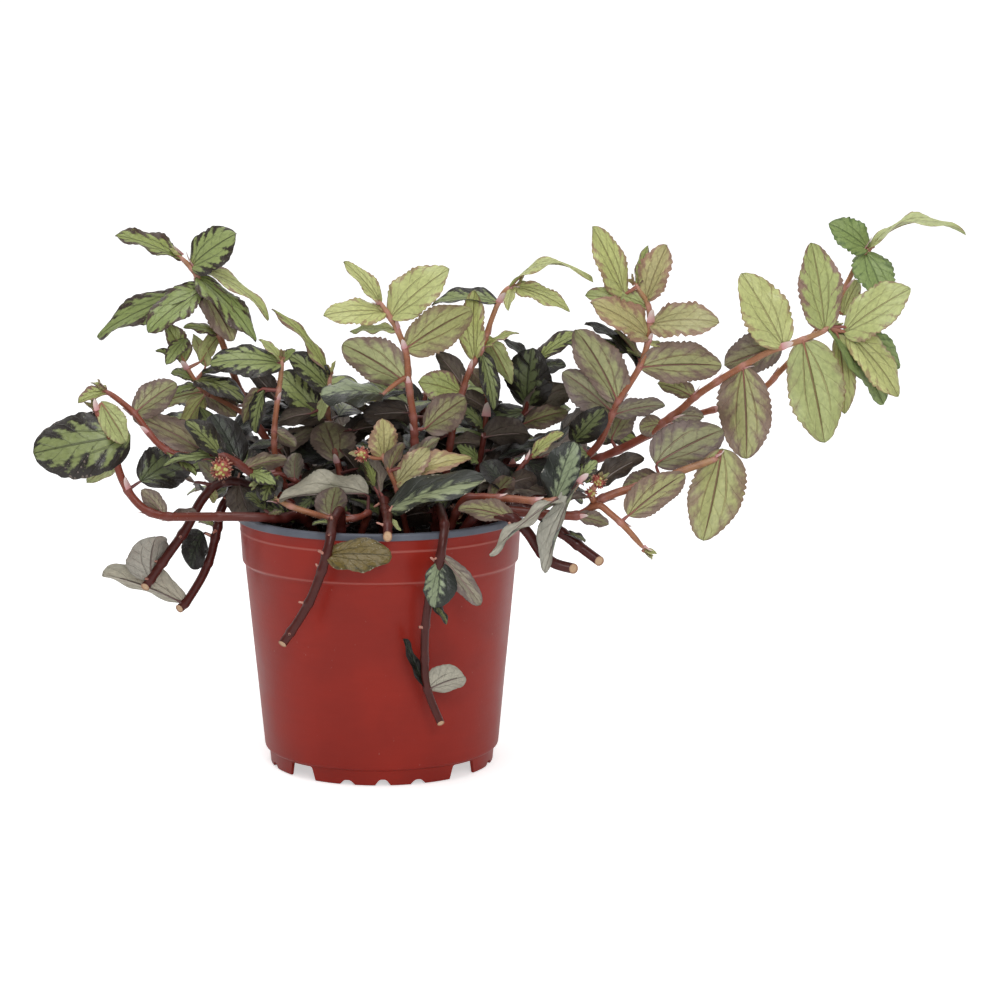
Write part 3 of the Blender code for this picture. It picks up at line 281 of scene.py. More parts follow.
def turned_mesh(name, profile, sides):
    """A body turned round the pot's axis from a profile that starts and may end on it."""
    shape = bmesh.new()
    rings = []
    for spot in profile:
        if spot.x < 1e-6:
            rings.append([shape.verts.new(in_frame((0, 0, spot.y)))])
            continue
        rings.append([
            shape.verts.new(in_frame((spot.x * math.cos(turn), spot.x * math.sin(turn), spot.y)))
            for turn in (2 * math.pi * side / sides for side in range(sides))
        ])
    for upper, lower in zip(rings, rings[1:] + rings[:1]):
        for side in range(sides):
            after = (side + 1) % sides
            corners = [upper[side % len(upper)], upper[after % len(upper)],
                       lower[after % len(lower)], lower[side % len(lower)]]
            corners = list(dict.fromkeys(corners))
            if len(corners) > 2:
                shape.faces.new(corners)
    bmesh.ops.recalc_face_normals(shape, faces=shape.faces)
    mesh = bpy.data.meshes.new(name)
    shape.to_mesh(mesh)
    shape.free()
    return mesh


foot_radius = BODY_RADIUS - FOOT_INSET
lip_foot = POT_HEIGHT - LIP_HEIGHT
collar_foot_radius = COLLAR_RADIUS - COLLAR_STEP
ridge_radius = (
    collar_foot_radius + COLLAR_STEP * (RIDGE_HEIGHT - COLLAR_FOOT) / (lip_foot - COLLAR_FOOT)
)
inside_floor = FLOOR_HEIGHT + WALL
pot_corners = [
    # radius, height and how round the corner is
    (COLLAR_RADIUS - WALL, POT_HEIGHT, 0.5), (LIP_RADIUS - 0.1, POT_HEIGHT - 0.1, 0.8),
    (LIP_RADIUS - 0.15, lip_foot, 0.5), (COLLAR_RADIUS, lip_foot - 0.2, 0.4),
    (ridge_radius, RIDGE_HEIGHT + 0.7, 0.2), (ridge_radius + RIDGE_DEPTH, RIDGE_HEIGHT, 0.3),
    (ridge_radius - 0.05, RIDGE_HEIGHT - 0.7, 0.2), (collar_foot_radius, COLLAR_FOOT, 0.5),
    (wall_radius(COLLAR_FOOT), COLLAR_FOOT - 1, 0.6), (BODY_RADIUS, FOOT_HEIGHT + 0.2, 1.2),
    (foot_radius, FOOT_HEIGHT - 0.6, 0.5), (foot_radius - 0.6, 0, 0.4),
    (foot_radius - 0.6 - WALL, 0, 0.4), (foot_radius - 0.4 - WALL, FLOOR_HEIGHT, 0.5),
    (0, FLOOR_HEIGHT, 0), (0, inside_floor, 0), (inner_radius(inside_floor), inside_floor, 1.0),
]
pot_profile = rounded([spot[:2] for spot in pot_corners], [spot[2] for spot in pot_corners])
pot_mesh = turned_mesh("nursery_pot", pot_profile, POT_SIDES)
pot = in_scene("nursery_pot", pot_mesh)

foot_cutters = bpy.data.collections.new("foot_cutters")
cuts = [(angle, GAP_WIDTH, GAP_HEIGHT, GAP_NARROWING) for angle in DRAIN_GAPS]
for angle in DRAIN_GAPS:
    cuts += [
        (angle + 45 + offset, NOTCH_WIDTH, height, NOTCH_NARROWING) for offset, height in NOTCHES
    ]
for angle, width, height, narrowing in cuts:
    shape = bmesh.new()
    bmesh.ops.create_cube(shape, size=MM)
    for corner in shape.verts:
        corner.co.x *= width * (narrowing if corner.co.z > 0 else 1 / narrowing)
        corner.co.y *= CUT_DEPTH
        corner.co.z *= 2 * height
    upper = [edge for edge in shape.edges
             if all(end.co.z > 0 for end in edge.verts)
             and abs(edge.verts[0].co.y - edge.verts[1].co.y) > 0.001]
    bmesh.ops.bevel(
        shape, geom=upper, offset=CUT_ROUNDING * MM, segments=4, affect="EDGES", profile=0.5
    )
    cutter_mesh = bpy.data.meshes.new("foot_cutter")
    shape.to_mesh(cutter_mesh)
    shape.free()
    cutter = bpy.data.objects.new("foot_cutter", cutter_mesh)
    turn = math.radians(angle + FOOT_TURN)
    cutter.location = in_frame((math.sin(turn) * foot_radius, -math.cos(turn) * foot_radius, 0))
    cutter.rotation_euler = (0, 0, turn)
    foot_cutters.objects.link(cutter)
bpy.context.scene.collection.children.link(foot_cutters)
cut = pot.modifiers.new("foot_gaps", "BOOLEAN")
cut.operation = "DIFFERENCE"
cut.operand_type = "COLLECTION"
cut.collection = foot_cutters
cut.solver = "MANIFOLD"
graph = bpy.context.evaluated_depsgraph_get()
cut_mesh = bpy.data.meshes.new_from_object(pot.evaluated_get(graph))
pot.modifiers.remove(cut)
pot.data = cut_mesh
for cutter in list(foot_cutters.objects):
    bpy.data.objects.remove(cutter)
bpy.data.collections.remove(foot_cutters)
cut_mesh.shade_smooth()
cut_mesh.set_sharp_from_angle(angle=math.radians(POT_CREASE))


def colour(code):
    """The linear colour of a six-digit sRGB code."""
    parts = [int(code[start:start + 2], 16) / 255 for start in (0, 2, 4)]
    return (*[
        part / 12.92 if part <= 0.04045 else ((part + 0.055) / 1.055) ** 2.4 for part in parts
    ], 1)


def mixed(tree, share, first, second):
    """Two colours mixed by a share from 0 to 1."""
    inputs = {0: share, 6: first, 7: second}
    return add_node(tree, "ShaderNodeMix", inputs, data_type="RGBA").outputs[2]


def noise(tree, vector, scale, detail=2.0, roughness=0.5):
    """The output of a Noise Texture, from 0 to 1."""
    inputs = {"Vector": vector, "Scale": scale, "Detail": detail, "Roughness": roughness}
    return add_node(tree, "ShaderNodeTexNoise", inputs).outputs["Fac"]


def bump(tree, height, distance):
    """The normal of a surface with this relief; its depth is in metres."""
    inputs = {"Height": height, "Distance": distance, "Strength": 1.0}
    return add_node(tree, "ShaderNodeBump", inputs).outputs["Normal"]


def times(tree, first, second):
    """Two values multiplied."""
    return maths(tree, "MULTIPLY", first, second)


def by_vector(tree, vector, factors):
    """A vector or colour multiplied part by part."""
    node = add_node(tree, "ShaderNodeVectorMath", {0: vector, 1: factors}, operation="MULTIPLY")
    return node.outputs[0]


def from_axis(tree):
    """The place of a point from the foot of the pot's axis, in metres."""
    place = add_node(tree, "ShaderNodeTexCoord").outputs["Object"]
    inputs = {0: place, 1: tuple(-POT_AXIS)}
    return add_node(tree, "ShaderNodeVectorMath", inputs, operation="ADD").outputs[0]


pot_plastic, tree, shader = new_material("red_pot_plastic")
place = from_axis(tree)
height = add_node(tree, "ShaderNodeSeparateXYZ", {0: place}).outputs[2]
cloudy = noise(tree, place, 38, 3)
streaks = noise(tree, by_vector(tree, place, (60, 60, 500)), 1.0, 2)
red = mixed(tree, remap(tree, cloudy, 0.35, 0.7), colour("92261b"), colour("9d291c"))
red = mixed(tree, times(tree, streaks, 0.22), red, colour("742018"))
dust = remap(tree, noise(tree, place, 620, 2), 0.70, 0.78)
dust = times(tree, dust, remap(tree, noise(tree, place, 60, 2), 0.45, 0.65))
red = mixed(tree, times(tree, dust, 0.3), red, colour("b98f86"))
# Pale lines along the ridge and the collar's foot
for line_height, strength in PALE_LINES:
    away = maths(tree, "ABSOLUTE", maths(tree, "SUBTRACT", height, line_height * MM))
    line = remap(tree, away, 1.6 * LINE_WIDTH * MM, 0.3 * LINE_WIDTH * MM)
    red = mixed(tree, times(tree, line, strength), red, colour("c27a70"))
lip_mask = remap(tree, height, (lip_foot - 0.15) * MM, (lip_foot + 0.25) * MM)
lip_shade = mixed(tree, noise(tree, place, 120, 2), colour("52565f"), colour("6e737f"))
red = mixed(tree, lip_mask, red, lip_shade)
shader.inputs["Specular IOR Level"].default_value = 0.24
relief = maths(tree, "ADD", times(tree, noise(tree, place, 900, 2), 0.5), streaks)
paint(tree, shader, red, remap(tree, cloudy, 0.3, 0.7, 0.30, 0.40), bump(tree, relief, 0.00006))

# The inside of the pot, coloured dark red-brown and mottled
dark_inner_plastic, tree, shader = new_material("dark_inner_pot_plastic")
place = from_axis(tree)
inner_mottle = noise(tree, place, 130, 4, 0.65)
dark_inside = mixed(tree, remap(tree, inner_mottle, 0.35, 0.65), colour("1d100d"), colour("4a1d17"))
paint(tree, shader, dark_inside, remap(tree, inner_mottle, 0.3, 0.7, 0.4, 0.8))
cut_mesh.materials.clear()
for material in (pot_plastic, dark_inner_plastic):
    cut_mesh.materials.append(material)
for face in cut_mesh.polygons:
    spot = (face.center - POT_AXIS) / MM
    above_floor = spot.z > FLOOR_HEIGHT + WALL / 2
    below_lip = spot.z < POT_HEIGHT - INSIDE_MARK
    inside = math.hypot(spot.x, spot.y) < inner_radius(spot.z) + INNER_SKIN
    if above_floor and below_lip and inside:
        face.material_index = 1
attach(pot, "root")
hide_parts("pot")

# Soil
# Dark wet potting mix, filled to a finger's width below the lip and slightly domed: a
# rough surface with crumbs of peat and bark lying on it, and pale fibres in it.
SOIL_TOP = 98
SOIL_CROWN = 2.0
SOIL_GAP = 0.3
SOIL_RINGS = 40
SOIL_SIDES = 120
CRUMBS = 520
CRUMB_SIZES = (0.7, 2.6)
CRUMB_REACH = 0.97  # of the soil's radius
CRUMB_STRETCHES = ((0.5, 1.0), (0.4, 0.9), (0.3, 0.6))
SOIL_CREASE = 40
SOIL_SEED = 3

chance = random.Random(SOIL_SEED)
soil_rim = inner_radius(SOIL_TOP) - SOIL_GAP


def soil_height(x, y):
    """The height of the soil's rough surface."""
    dome = SOIL_TOP + SOIL_CROWN * (1 - min(1, math.hypot(x, y) / soil_rim) ** 2)
    rough = math.sin(0.41 * x + 1.3) * math.sin(0.37 * y) + 0.6 * math.sin(0.93 * x - 0.71 * y)
    fine = math.sin(2.1 * x + 0.4 * y) * math.sin(1.9 * y - 0.3 * x)
    return dome - 0.8 + 0.35 * rough + 0.28 * fine


def round_spots(radius):
    """Even points round the pot's axis at this distance."""
    turns = [2 * math.pi * side / SOIL_SIDES for side in range(SOIL_SIDES)]
    return [(radius * math.cos(turn), radius * math.sin(turn)) for turn in turns]


shape = bmesh.new()
centre = shape.verts.new(in_frame((0, 0, soil_height(0, 0))))
circles = []
for circle in range(1, SOIL_RINGS + 1):
    spots = round_spots(soil_rim * circle / SOIL_RINGS)
    circles.append([shape.verts.new(in_frame((x, y, soil_height(x, y)))) for x, y in spots])
low_floor = inside_floor + SOIL_GAP
across = inner_radius(low_floor) - SOIL_GAP
circles.append([shape.verts.new(in_frame((x, y, low_floor))) for x, y in round_spots(across)])
for inner, outer in zip(circles, circles[1:]):
    for side in range(SOIL_SIDES):
        after = (side + 1) % SOIL_SIDES
        shape.faces.new((inner[side], outer[side], outer[after], inner[after]))
for side in range(SOIL_SIDES):
    shape.faces.new((centre, circles[0][side], circles[0][(side + 1) % SOIL_SIDES]))
shape.faces.new(circles[-1][::-1])
for crumb in range(CRUMBS):
    turn = chance.uniform(0, 2 * math.pi)
    across = soil_rim * CRUMB_REACH * math.sqrt(chance.random())
    size = chance.uniform(*CRUMB_SIZES) * (0.6 + 0.4 * chance.random())
    x, y = across * math.cos(turn), across * math.sin(turn)
    lump = bmesh.ops.create_icosphere(shape, subdivisions=1, radius=1)["verts"]
    stretch = [chance.uniform(*limits) for limits in CRUMB_STRETCHES]
    facing = chance.uniform(0, math.pi)
    for corner in lump:
        local = Vector([corner.co[axis] * stretch[axis] * size / 2 for axis in range(3)])
        local *= chance.uniform(0.8, 1.15)
        spot = Vector((
            local.x * math.cos(facing) - local.y * math.sin(facing),
            local.x * math.sin(facing) + local.y * math.cos(facing), local.z,
        ))
        rest = min(soil_height(x, y) + size * 0.1, SOIL_TOP + SOIL_CROWN - size * 0.3)
        corner.co = in_frame((x, y, rest)) + spot * MM
bmesh.ops.recalc_face_normals(shape, faces=shape.faces)
soil_mesh = bpy.data.meshes.new("potting_soil")
shape.to_mesh(soil_mesh)
shape.free()
soil_mesh.shade_smooth()
soil_mesh.set_sharp_from_angle(angle=math.radians(SOIL_CREASE))
soil = in_scene("potting_soil", soil_mesh)
wet_soil, tree, shader = new_material("wet_soil")
place = from_axis(tree)
grain = noise(tree, place, 700, 4, 0.7)
brown = mixed(tree, remap(tree, grain, 0.3, 0.75), colour("17100c"), colour("3d2a1d"))
fibres = remap(tree, noise(tree, place, 1500, 2), 0.66, 0.74)
brown = mixed(tree, times(tree, fibres, 0.45), brown, colour("55402f"))
paint(tree, shader, brown, remap(tree, grain, 0.3, 0.8, 0.55, 0.95), bump(tree, grain, 0.0006))
soil_mesh.materials.append(wet_soil)
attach(soil, "root")
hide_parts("soil")

# Leafy shoots: how they lie
# Creeping stems that root in the soil, arch over the lip and hang or rise at their ends,
# each with its leaves in two rows. Every shoot in the photograph is listed one by one, and
# the crown's middle and the far side, which it doesn't show, are filled by rule.
HOLE_DEPTH = 10
ROOT_GAP = 0.3
ROUTE_START = 3  # above the soil's crown, like the next two
CROWN_START = 8
BACK_START = 5
RING_SPACING = 32
RING_TURN = math.radians(34)
SHORTEST_RING = 2
CURVE_STEPS = 12
BLADE_THICKNESS = 0.75  # of the solid blades, which keep each leaf's place
PETIOLE_RADIUS = 0.8
NEAR_STEM = 4.5  # a blade closer than this to its stem starts on the stem's own axis
TEETH = ((30, 5), (19, 4), (12, 3), (0, 2))  # edge points a side, by the blade's length
TOOTH_REACHES = (1.06, 0.93)
KNOB_REACHES = (0.86, 1.12)
CLEARANCE = 0.45

# Tones of foliage, youngest to oldest; the oldest, DARK, is also painted shade deep in the crown
FRESH, YOUNG, MID, OLD, DARK = range(5)
BLUSHED, GREEN, OLIVE, PAINTED_SHEEN = range(5, 9)  # of leaves that no age gives; the last is a dark leaf whose grey is a painted sheen

# Each shoot has the place of its root in the soil, the route of its stem as
# (across, up, depth), the stem's radius at its foot and at its tip, any side branches,
# and its leaves. A leaf is its base and its tip, each (across, up), how far its tip leans
# back, its width, its turn about its own length (0 shows its upper face, 90 looks up and
# 180 shows its underside), its fold and its arch (in % of its length), and its tone.
SHOOTS = []


def lay_out(name, **parts):
    """Lists a shoot, with any of these parts: root, radii, route, branches, leaves and
    blooms."""
    SHOOTS.append(dict(name=name, **parts))


lay_out(
    "trailing_stem_front_left", root=(-15, -45), radii=(2.1, 1.9),
    route=[
        (-17, 108, -48.5), (-20, 104, -54), (-20.8, 101.4, -60), (-21.5, 96, -65.5),
        (-23.5, 88, -66.5), (-26, 80, -66), (-30, 70, -65), (-35, 61, -63), (-42.5, 50, -61),
    ],
    leaves=[
        ((-21, 88.5), (4.5, 89), -4, 15, 28, 8, 4, OLIVE),
        ((-22, 103), (-29, 103), -3, 4, 60, 10, 6, OLD),
    ],
)
lay_out(
    "trailing_stem_front_right", root=(24, -36), radii=(2.1, 1.6),
    route=[
        (24.5, 109, -44), (26, 107, -51), (27.3, 101.8, -60), (26.6, 95, -66),
        (25, 86, -67), (22.5, 77, -66), (20, 66, -65), (18.8, 55, -64), (18.6, 43, -62.5),
        (19, 34, -61.5), (21, 26, -60.5), (25.5, 15, -59.5),
    ],
    leaves=[
        ((24.5, 85), (23.5, 66), -5, 15, 26, 16, 8, PAINTED_SHEEN),
        ((19.8, 70), (28.5, 59), -2, 6, 50, 10, 5, DARK),
        ((29, 88), (43, 67.5), -2, 10, 166, 12, 8, OLD),
        ((20.5, 31), (11, 52.5), -4, 6, 40, 20, -5, DARK),
        ((21, 31), (36, 36.5), -5, 13, 150, 10, 5, PAINTED_SHEEN),
    ],
)
lay_out(
    "cut_stem_front", root=(2, -24), radii=(2.0, 1.9),
    route=[(1.5, 112, -36), (2, 109.5, -45), (3, 105.8, -54), (3, 102.5, -62.5), (3, 97, -67.5)],
    leaves=[
        ((5, 109), (44.5, 122), -9, 19, 46, 12, 6, PAINTED_SHEEN),
        ((3, 106), (9, 100), -2, 4, 60, 10, 0, FRESH),
    ],
)
lay_out(
    "shoot_front_left", root=(-7, -27), radii=(1.6, 1.2),
    route=[
        (-5, 107, -34), (-8, 105.8, -37), (-14, 104.5, -39), (-22, 105, -40),
        (-30, 107.3, -42), (-38, 110, -42), (-44, 113, -39),
    ],
    leaves=[
        ((-5, 116), (-43, 115), -10, 21, 126, 38, 2, PAINTED_SHEEN),
        ((-21, 108.5), (-19, 119), 3, 14, 165, 8, 6, MID),
    ],
)
lay_out(
    "young_shoot_front", root=(12, -26), radii=(1.4, 0.9),
    route=[(8, 113, -32), (6.5, 119, -34), (4, 125, -35), (1.5, 131, -36), (0, 137, -36)],
    branches=[[(1.5, 131, -36), (-3, 131, -37), (-7.5, 132.5, -38)]],
    leaves=[
        ((1, 131), (1.5, 147.5), -3, 13, 15, 15, 6, BLUSHED),
        ((4, 126), (9.5, 138), -6, 8, 150, 20, 4, MID),
        ((8, 120), (21, 135), -5, 12, 20, 18, 5, BLUSHED),
        ((9, 121), (38.5, 132), 2, 12, 40, 18, 8, BLUSHED),
        ((10, 127), (25, 140), 6, 9, 150, 10, 5, MID),
    ],
    blooms=[((-7.5, 132.5, -38), 3.0)],
)
lay_out(
    "shoot_far_left", root=(-27, -21), radii=(2.2, 1.5),
    route=[
        (-35, 106, -28), (-42, 104.8, -33), (-50, 105.3, -37), (-60, 105.6, -38.5),
        (-70, 105.6, -38), (-80, 105.6, -36), (-92, 105.8, -33), (-100, 108.5, -31),
        (-106, 114.5, -30), (-110, 122, -30), (-112.5, 130, -30), (-115, 138, -30),
        (-118, 146, -29), (-120.5, 152, -28),
    ],
    leaves=[
        ((-106, 141), (-147.5, 133), -4, 28, 12, 8, 6, OLD),
        ((-118, 155), (-108, 138), -9, 12, 178, 14, 8, FRESH),
        ((-113, 129.5), (-125, 120.5), 5, 8, 160, 10, 6, FRESH),
        ((-91, 107.5), (-101, 117.5), 4, 9, 150, 12, 6, OLD),
        ((-90, 107.5), (-79, 109), 5, 6, 120, 10, 4, OLD),
        ((-102, 121), (-82, 133), 20, 21, 18, 8, 6, DARK),
        ((-48.5, 107), (-42, 108.5), -2, 5, 130, 10, 4, MID),
    ],
)
lay_out(
    "shoot_left", root=(-22, -6), radii=(2.0, 1.2),
    route=[
        (-30, 106, -10), (-38, 111, -16), (-47, 118, -22), (-57, 126, -26),
        (-66, 131.5, -28), (-78, 131.5, -28), (-88, 133, -28), (-94, 137, -28),
        (-97.5, 141, -27), (-104, 150, -26), (-109, 154.5, -25), (-113.5, 158, -24),
        (-117, 160, -24),
    ],
    branches=[[(-62, 129.5, -27), (-65, 128, -30), (-67.5, 126.5, -32)]],
    leaves=[
        ((-103.5, 151.5), (-86.5, 163.5), 5, 15, 165, 10, 8, MID),
        ((-116.5, 159.5), (-128, 155.5), -4, 8, 20, 25, 5, YOUNG),
        ((-116, 160), (-122, 164), 2, 5, 60, 15, 5, YOUNG),
        ((-70.5, 136.5), (-103, 149.5), 9, 14, 160, 8, 6, MID),
        ((-66, 133), (-92, 129.5), -7, 8, 50, 15, 5, OLD),
        ((-66, 134.5), (-82, 147), -3, 12, 30, 12, 6, OLD),
        ((-59, 130), (-71, 150), 7, 16, 25, 10, 6, DARK),
        ((-57, 128.5), (-39.5, 131), -4, 10, 150, 10, 8, MID),
        ((-56, 124), (-45.5, 120.5), -8, 8, 30, 10, 5, OLD),
    ],
    blooms=[((-67.5, 126.5, -32), 4.6)],
)
lay_out(
    "shoot_left_tall", root=(-20, 14), radii=(2.0, 1.1),
    route=[
        (-28, 114, 16), (-40, 128, 17), (-52, 145, 16), (-60, 162, 14), (-67, 182, 11),
        (-73, 197, 8), (-76, 207, 6), (-79, 212, 5), (-84, 217, 4),
    ],
    branches=[
        [(-54, 148, 15.5), (-66, 155, 12), (-75, 160, 9), (-80.5, 168, 7), (-86, 178, 6)],
    ],
    leaves=[
        ((-83, 218), (-110, 227), -5, 13, 50, 14, 3, MID),
        ((-77, 213.5), (-60.5, 226.5), -8, 19, 30, 12, 6, OLD),
        ((-72, 204.5), (-98, 186), -12, 17, 34, 12, 6, MID),
        ((-75, 204.5), (-121, 184.5), 6, 14, 38, 10, 3, MID),
        ((-79, 173), (-90, 189), -2, 11, 34, 12, 6, MID),
        ((-68, 184), (-82, 188), -6, 7, 50, 10, 6, MID),
        ((-73, 170), (-78, 184), 4, 7, 150, 8, 5, FRESH),
        ((-86, 172), (-94.5, 177.5), 0, 4, 45, 10, 5, MID),
        ((-78, 165), (-88, 168), -3, 8, 50, 12, 8, MID),
        ((-76, 163), (-86.5, 159.5), -5, 6, 50, 10, 5, MID),
        ((-77, 212), (-46, 191.5), -5, 10, 50, 14, 13, YOUNG),
        ((-74, 209), (-52, 181), -9, 15, 44, 14, 8, MID),
        ((-74, 206), (-61, 181), -12, 14, 162, 10, 6, MID),
        ((-75, 159), (-94.5, 154.5), 8, 10, 150, 10, 5, FRESH),
        ((-74, 158), (-84, 142.5), 9, 10, 150, 10, 6, FRESH),
        ((-78, 165), (-57, 156.5), -5, 13, 48, 14, 10, OLD),
        ((-72, 159), (-61, 149), 4, 11, 160, 8, 5, MID),
        ((-60, 170), (-75, 167.5), -6, 7, 60, 12, 6, DARK),
    ],
)
lay_out(
    "shoot_left_inner", root=(-27, 2), radii=(1.7, 1.0),
    route=[
        (-32, 108, -2), (-39, 116, -6), (-44, 128, -9), (-45, 140, -10), (-43.5, 155, -9),
        (-42, 165, -8), (-41, 174, -8),
    ],
    leaves=[
        ((-44, 172), (-71.5, 172), -5, 17, 34, 16, 9, OLD),
        ((-43, 173), (-50.5, 182), 0, 6, 50, 14, 5, YOUNG),
        ((-45, 156), (-55.5, 170.5), 3, 9, 160, 8, 6, DARK),
        ((-41, 173), (-36, 177.5), -2, 5, 40, 15, 5, MID),
        ((-49, 160), (-53.5, 142), -3, 9, 38, 14, 6, OLD),
        ((-51, 161), (-58, 147), 8, 8, 150, 8, 5, MID),
        ((-44, 142.5), (-35.5, 136), -3, 7, 160, 8, 5, MID),
        ((-45, 138), (-56, 136), 5, 9, 60, 8, 6, DARK),
    ],
)
lay_out(
    "shoot_centre_left", root=(-10, 8), radii=(1.6, 1.0),
    route=[(-13, 112, 9), (-17, 124, 9), (-20, 138, 8), (-22, 150, 7), (-21.5, 160, 6),
           (-21, 167, 6)],
    leaves=[
        ((-22, 160), (-38, 175.5), -5, 14, 26, 14, 8, OLD),
        ((-23, 168), (-43.5, 195.5), -4, 7, 42, 14, 8, YOUNG),
        ((-20, 164), (-25, 172), 0, 5, 40, 12, 5, MID),
        ((-26, 150), (-42, 167.5), 3, 17, 18, 8, 6, OLD),
        ((-24, 147.5), (-42, 149.5), -6, 12, 130, 8, 8, DARK),
        ((-20, 129.5), (-23.5, 146.5), -9, 20, 170, 10, 10, MID),
        ((-23, 159), (-26, 147), -5, 6, 30, 14, 5, FRESH),
    ],
)
lay_out(
    "shoot_middle", root=(13, -12), radii=(2.1, 1.1),
    route=[
        (13.5, 112, -15), (14.5, 130, -17), (14.5, 145, -18), (13, 157, -18),
        (12, 166, -18), (11.5, 175, -18), (8, 185, -18), (4, 192, -19), (0, 198, -20),
    ],
    branches=[[(12, 166, -18), (7, 163, -19), (0.5, 157.5, -20)]],
    leaves=[
        ((-2, 200), (-14, 215), -2, 8, 28, 15, 6, FRESH),
        ((2, 192.5), (-23.5, 192), -8, 13, 36, 10, 8, FRESH),
        ((4, 190), (28.5, 212), -6, 20, 22, 10, 5, FRESH),
        ((5, 184), (-12.5, 185.5), 4, 7, 55, 10, 6, YOUNG),
        ((11.5, 163), (-15.5, 180), -6, 20, 160, 12, 8, YOUNG),
        ((12, 178), (39, 195), -4, 20, 163, 10, 6, YOUNG),
        ((1, 157.5), (-25, 158.5), -4, 21, 66, 6, 6, PAINTED_SHEEN),
        ((19, 143.5), (36.5, 157), -6, 16, 163, 8, 8, MID),
        ((11, 159), (-1, 156), 3, 5, 65, 10, 5, DARK),
        ((12, 150), (-6.5, 149.5), 9, 14, 158, 8, 6, DARK),
        ((14, 128), (-6, 120), 6, 14, 60, 8, 8, DARK),
    ],
)
lay_out(
    "shoot_middle_right", root=(25, 4), radii=(1.8, 1.0),
    route=[
        (26.5, 112, 3), (28.5, 128, 1), (30.5, 141, -1), (33, 152, -2), (35.5, 161, -3),
        (38.5, 169, -4), (43, 177, -4), (47, 189, -4), (51, 199, -5), (54, 203, -6),
        (58, 205, -6),
    ],
    leaves=[
        ((54.5, 203.5), (89.5, 209.5), -6, 8, 66, 12, 24, FRESH),
        ((58, 204.5), (80.5, 194.5), -8, 10, 32, 12, 8, FRESH),
        ((59, 204), (54, 194.5), -8, 6, 40, 12, 4, FRESH),
        ((40, 172), (40, 202.5), -3, 12, 20, 12, 5, YOUNG),
        ((50, 198), (22, 198), 4, 12, 56, 14, 8, OLD),
        ((44, 178), (58.5, 185.5), -2, 6, 58, 12, 6, YOUNG),
        ((45, 176), (49, 152), -5, 9, 20, 10, 5, DARK),
        ((45, 183), (56, 163), 6, 10, 160, 10, 6, FRESH),
        ((38, 169), (46, 160.5), 3, 9, 150, 8, 5, OLD),
        ((33, 159.5), (17, 164), -7, 15, 24, 8, 6, YOUNG),
        ((35, 162), (25, 176), 6, 11, 150, 8, 6, DARK),
        ((30, 140), (20, 141), 8, 9, 140, 8, 6, DARK),
    ],
)
lay_out(
    "shoot_centre_dark", root=(34, 16), radii=(1.5, 1.0),
    route=[(37, 112, 14), (41, 124, 11), (43.5, 136, 9), (45, 148, 8), (45.5, 158, 8)],
    leaves=[
        ((45, 143), (35, 152), -8, 11, 55, 8, 6, DARK),
        ((45, 152), (35, 158.5), 3, 10, 160, 8, 6, DARK),
        ((44, 140), (63.5, 141.5), -9, 16, 138, 10, 6, DARK),
        ((42, 130), (33, 136), -6, 8, 28, 8, 5, OLD),
        ((41, 123), (57, 124), -8, 14, 60, 8, 8, DARK),
        ((39, 116), (24, 122), -10, 13, 120, 8, 8, DARK),
    ],
)
lay_out(
    "shoot_crown_right", root=(42, 17), radii=(1.7, 1.0),
    route=[(46, 114, 18), (53, 128, 19), (59, 142, 20), (63, 156, 18), (66, 170, 17)],
    leaves=[
        ((62, 153), (64, 177.5), -6, 21, 15, 10, 6, DARK),
        ((65, 169), (53, 181.5), -3, 10, 55, 10, 8, DARK),
        ((66, 171), (78.5, 171.5), -4, 10, 55, 10, 8, DARK),
        ((60, 151), (80, 163), -12, 15, 150, 8, 6, DARK),
        ((60, 146), (80.5, 152), -14, 10, 160, 8, 6, MID),
        ((67, 173), (85, 185.5), 2, 10, 34, 16, 8, OLD),
        ((58, 140), (47, 153), 6, 13, 40, 8, 6, DARK),
    ],
)
lay_out(
    "shoot_crown_front_right", root=(38, -14), radii=(1.5, 1.0),
    route=[(44, 110, -17), (50, 115, -20), (56, 121, -22), (60, 127, -21), (65, 133, -20)],
    leaves=[
        ((65, 133), (77.5, 142), -5, 8, 40, 18, 5, YOUNG),
        ((56, 121), (66.5, 123.5), -6, 10, 150, 10, 6, DARK),
        ((47, 113), (56, 123.5), -8, 10, 165, 10, 6, MID),
        ((62, 130), (76, 121), 8, 14, 40, 8, 6, DARK),
        ((53, 118), (44, 130), 5, 13, 40, 8, 6, DARK),
    ],
)
lay_out(
    "shoot_right_inner", root=(46, -4), radii=(2.0, 1.1),
    route=[
        (54, 111, -6), (66, 114.5, -10), (78, 122, -14), (88, 131.5, -17), (93.5, 138, -18),
        (97, 146, -18), (101, 155, -18), (106, 163, -18), (111, 172, -18), (114, 184, -18),
        (113.5, 196, -19), (108, 205.5, -20),
    ],
    leaves=[
        ((103.5, 200.5), (90, 229.5), -3, 15, 20, 12, 6, FRESH),
        ((107, 205), (113, 221.5), 0, 7, 40, 12, 5, YOUNG),
        ((115, 199), (121, 221.5), -6, 15, 18, 14, 6, BLUSHED),
        ((112, 195), (87, 200.5), -7, 12, 28, 10, 6, YOUNG),
        ((113, 182), (91.5, 197.5), -9, 16, 30, 16, 6, BLUSHED),
        ((110, 173), (100, 186), 5, 7, 125, 10, 5, MID),
        ((116, 188.5), (143, 190), -9, 17, 30, 14, 8, BLUSHED),
        ((114, 180), (121, 179), 2, 4, 40, 10, 5, FRESH),
        ((111, 170), (145, 171), -7, 19, 160, 12, 6, YOUNG),
        ((100, 156), (83.5, 187), -8, 20, 160, 12, 6, YOUNG),
        ((101, 148), (120.5, 154.5), 5, 11, 140, 10, 5, MID),
        ((82, 138), (94.5, 152), -8, 14, 20, 8, 6, DARK),
        ((90, 133), (76, 133), -8, 12, 32, 8, 6, OLD),
        ((88, 130.5), (88, 120.5), -8, 9, 18, 10, 6, OLD),
    ],
)
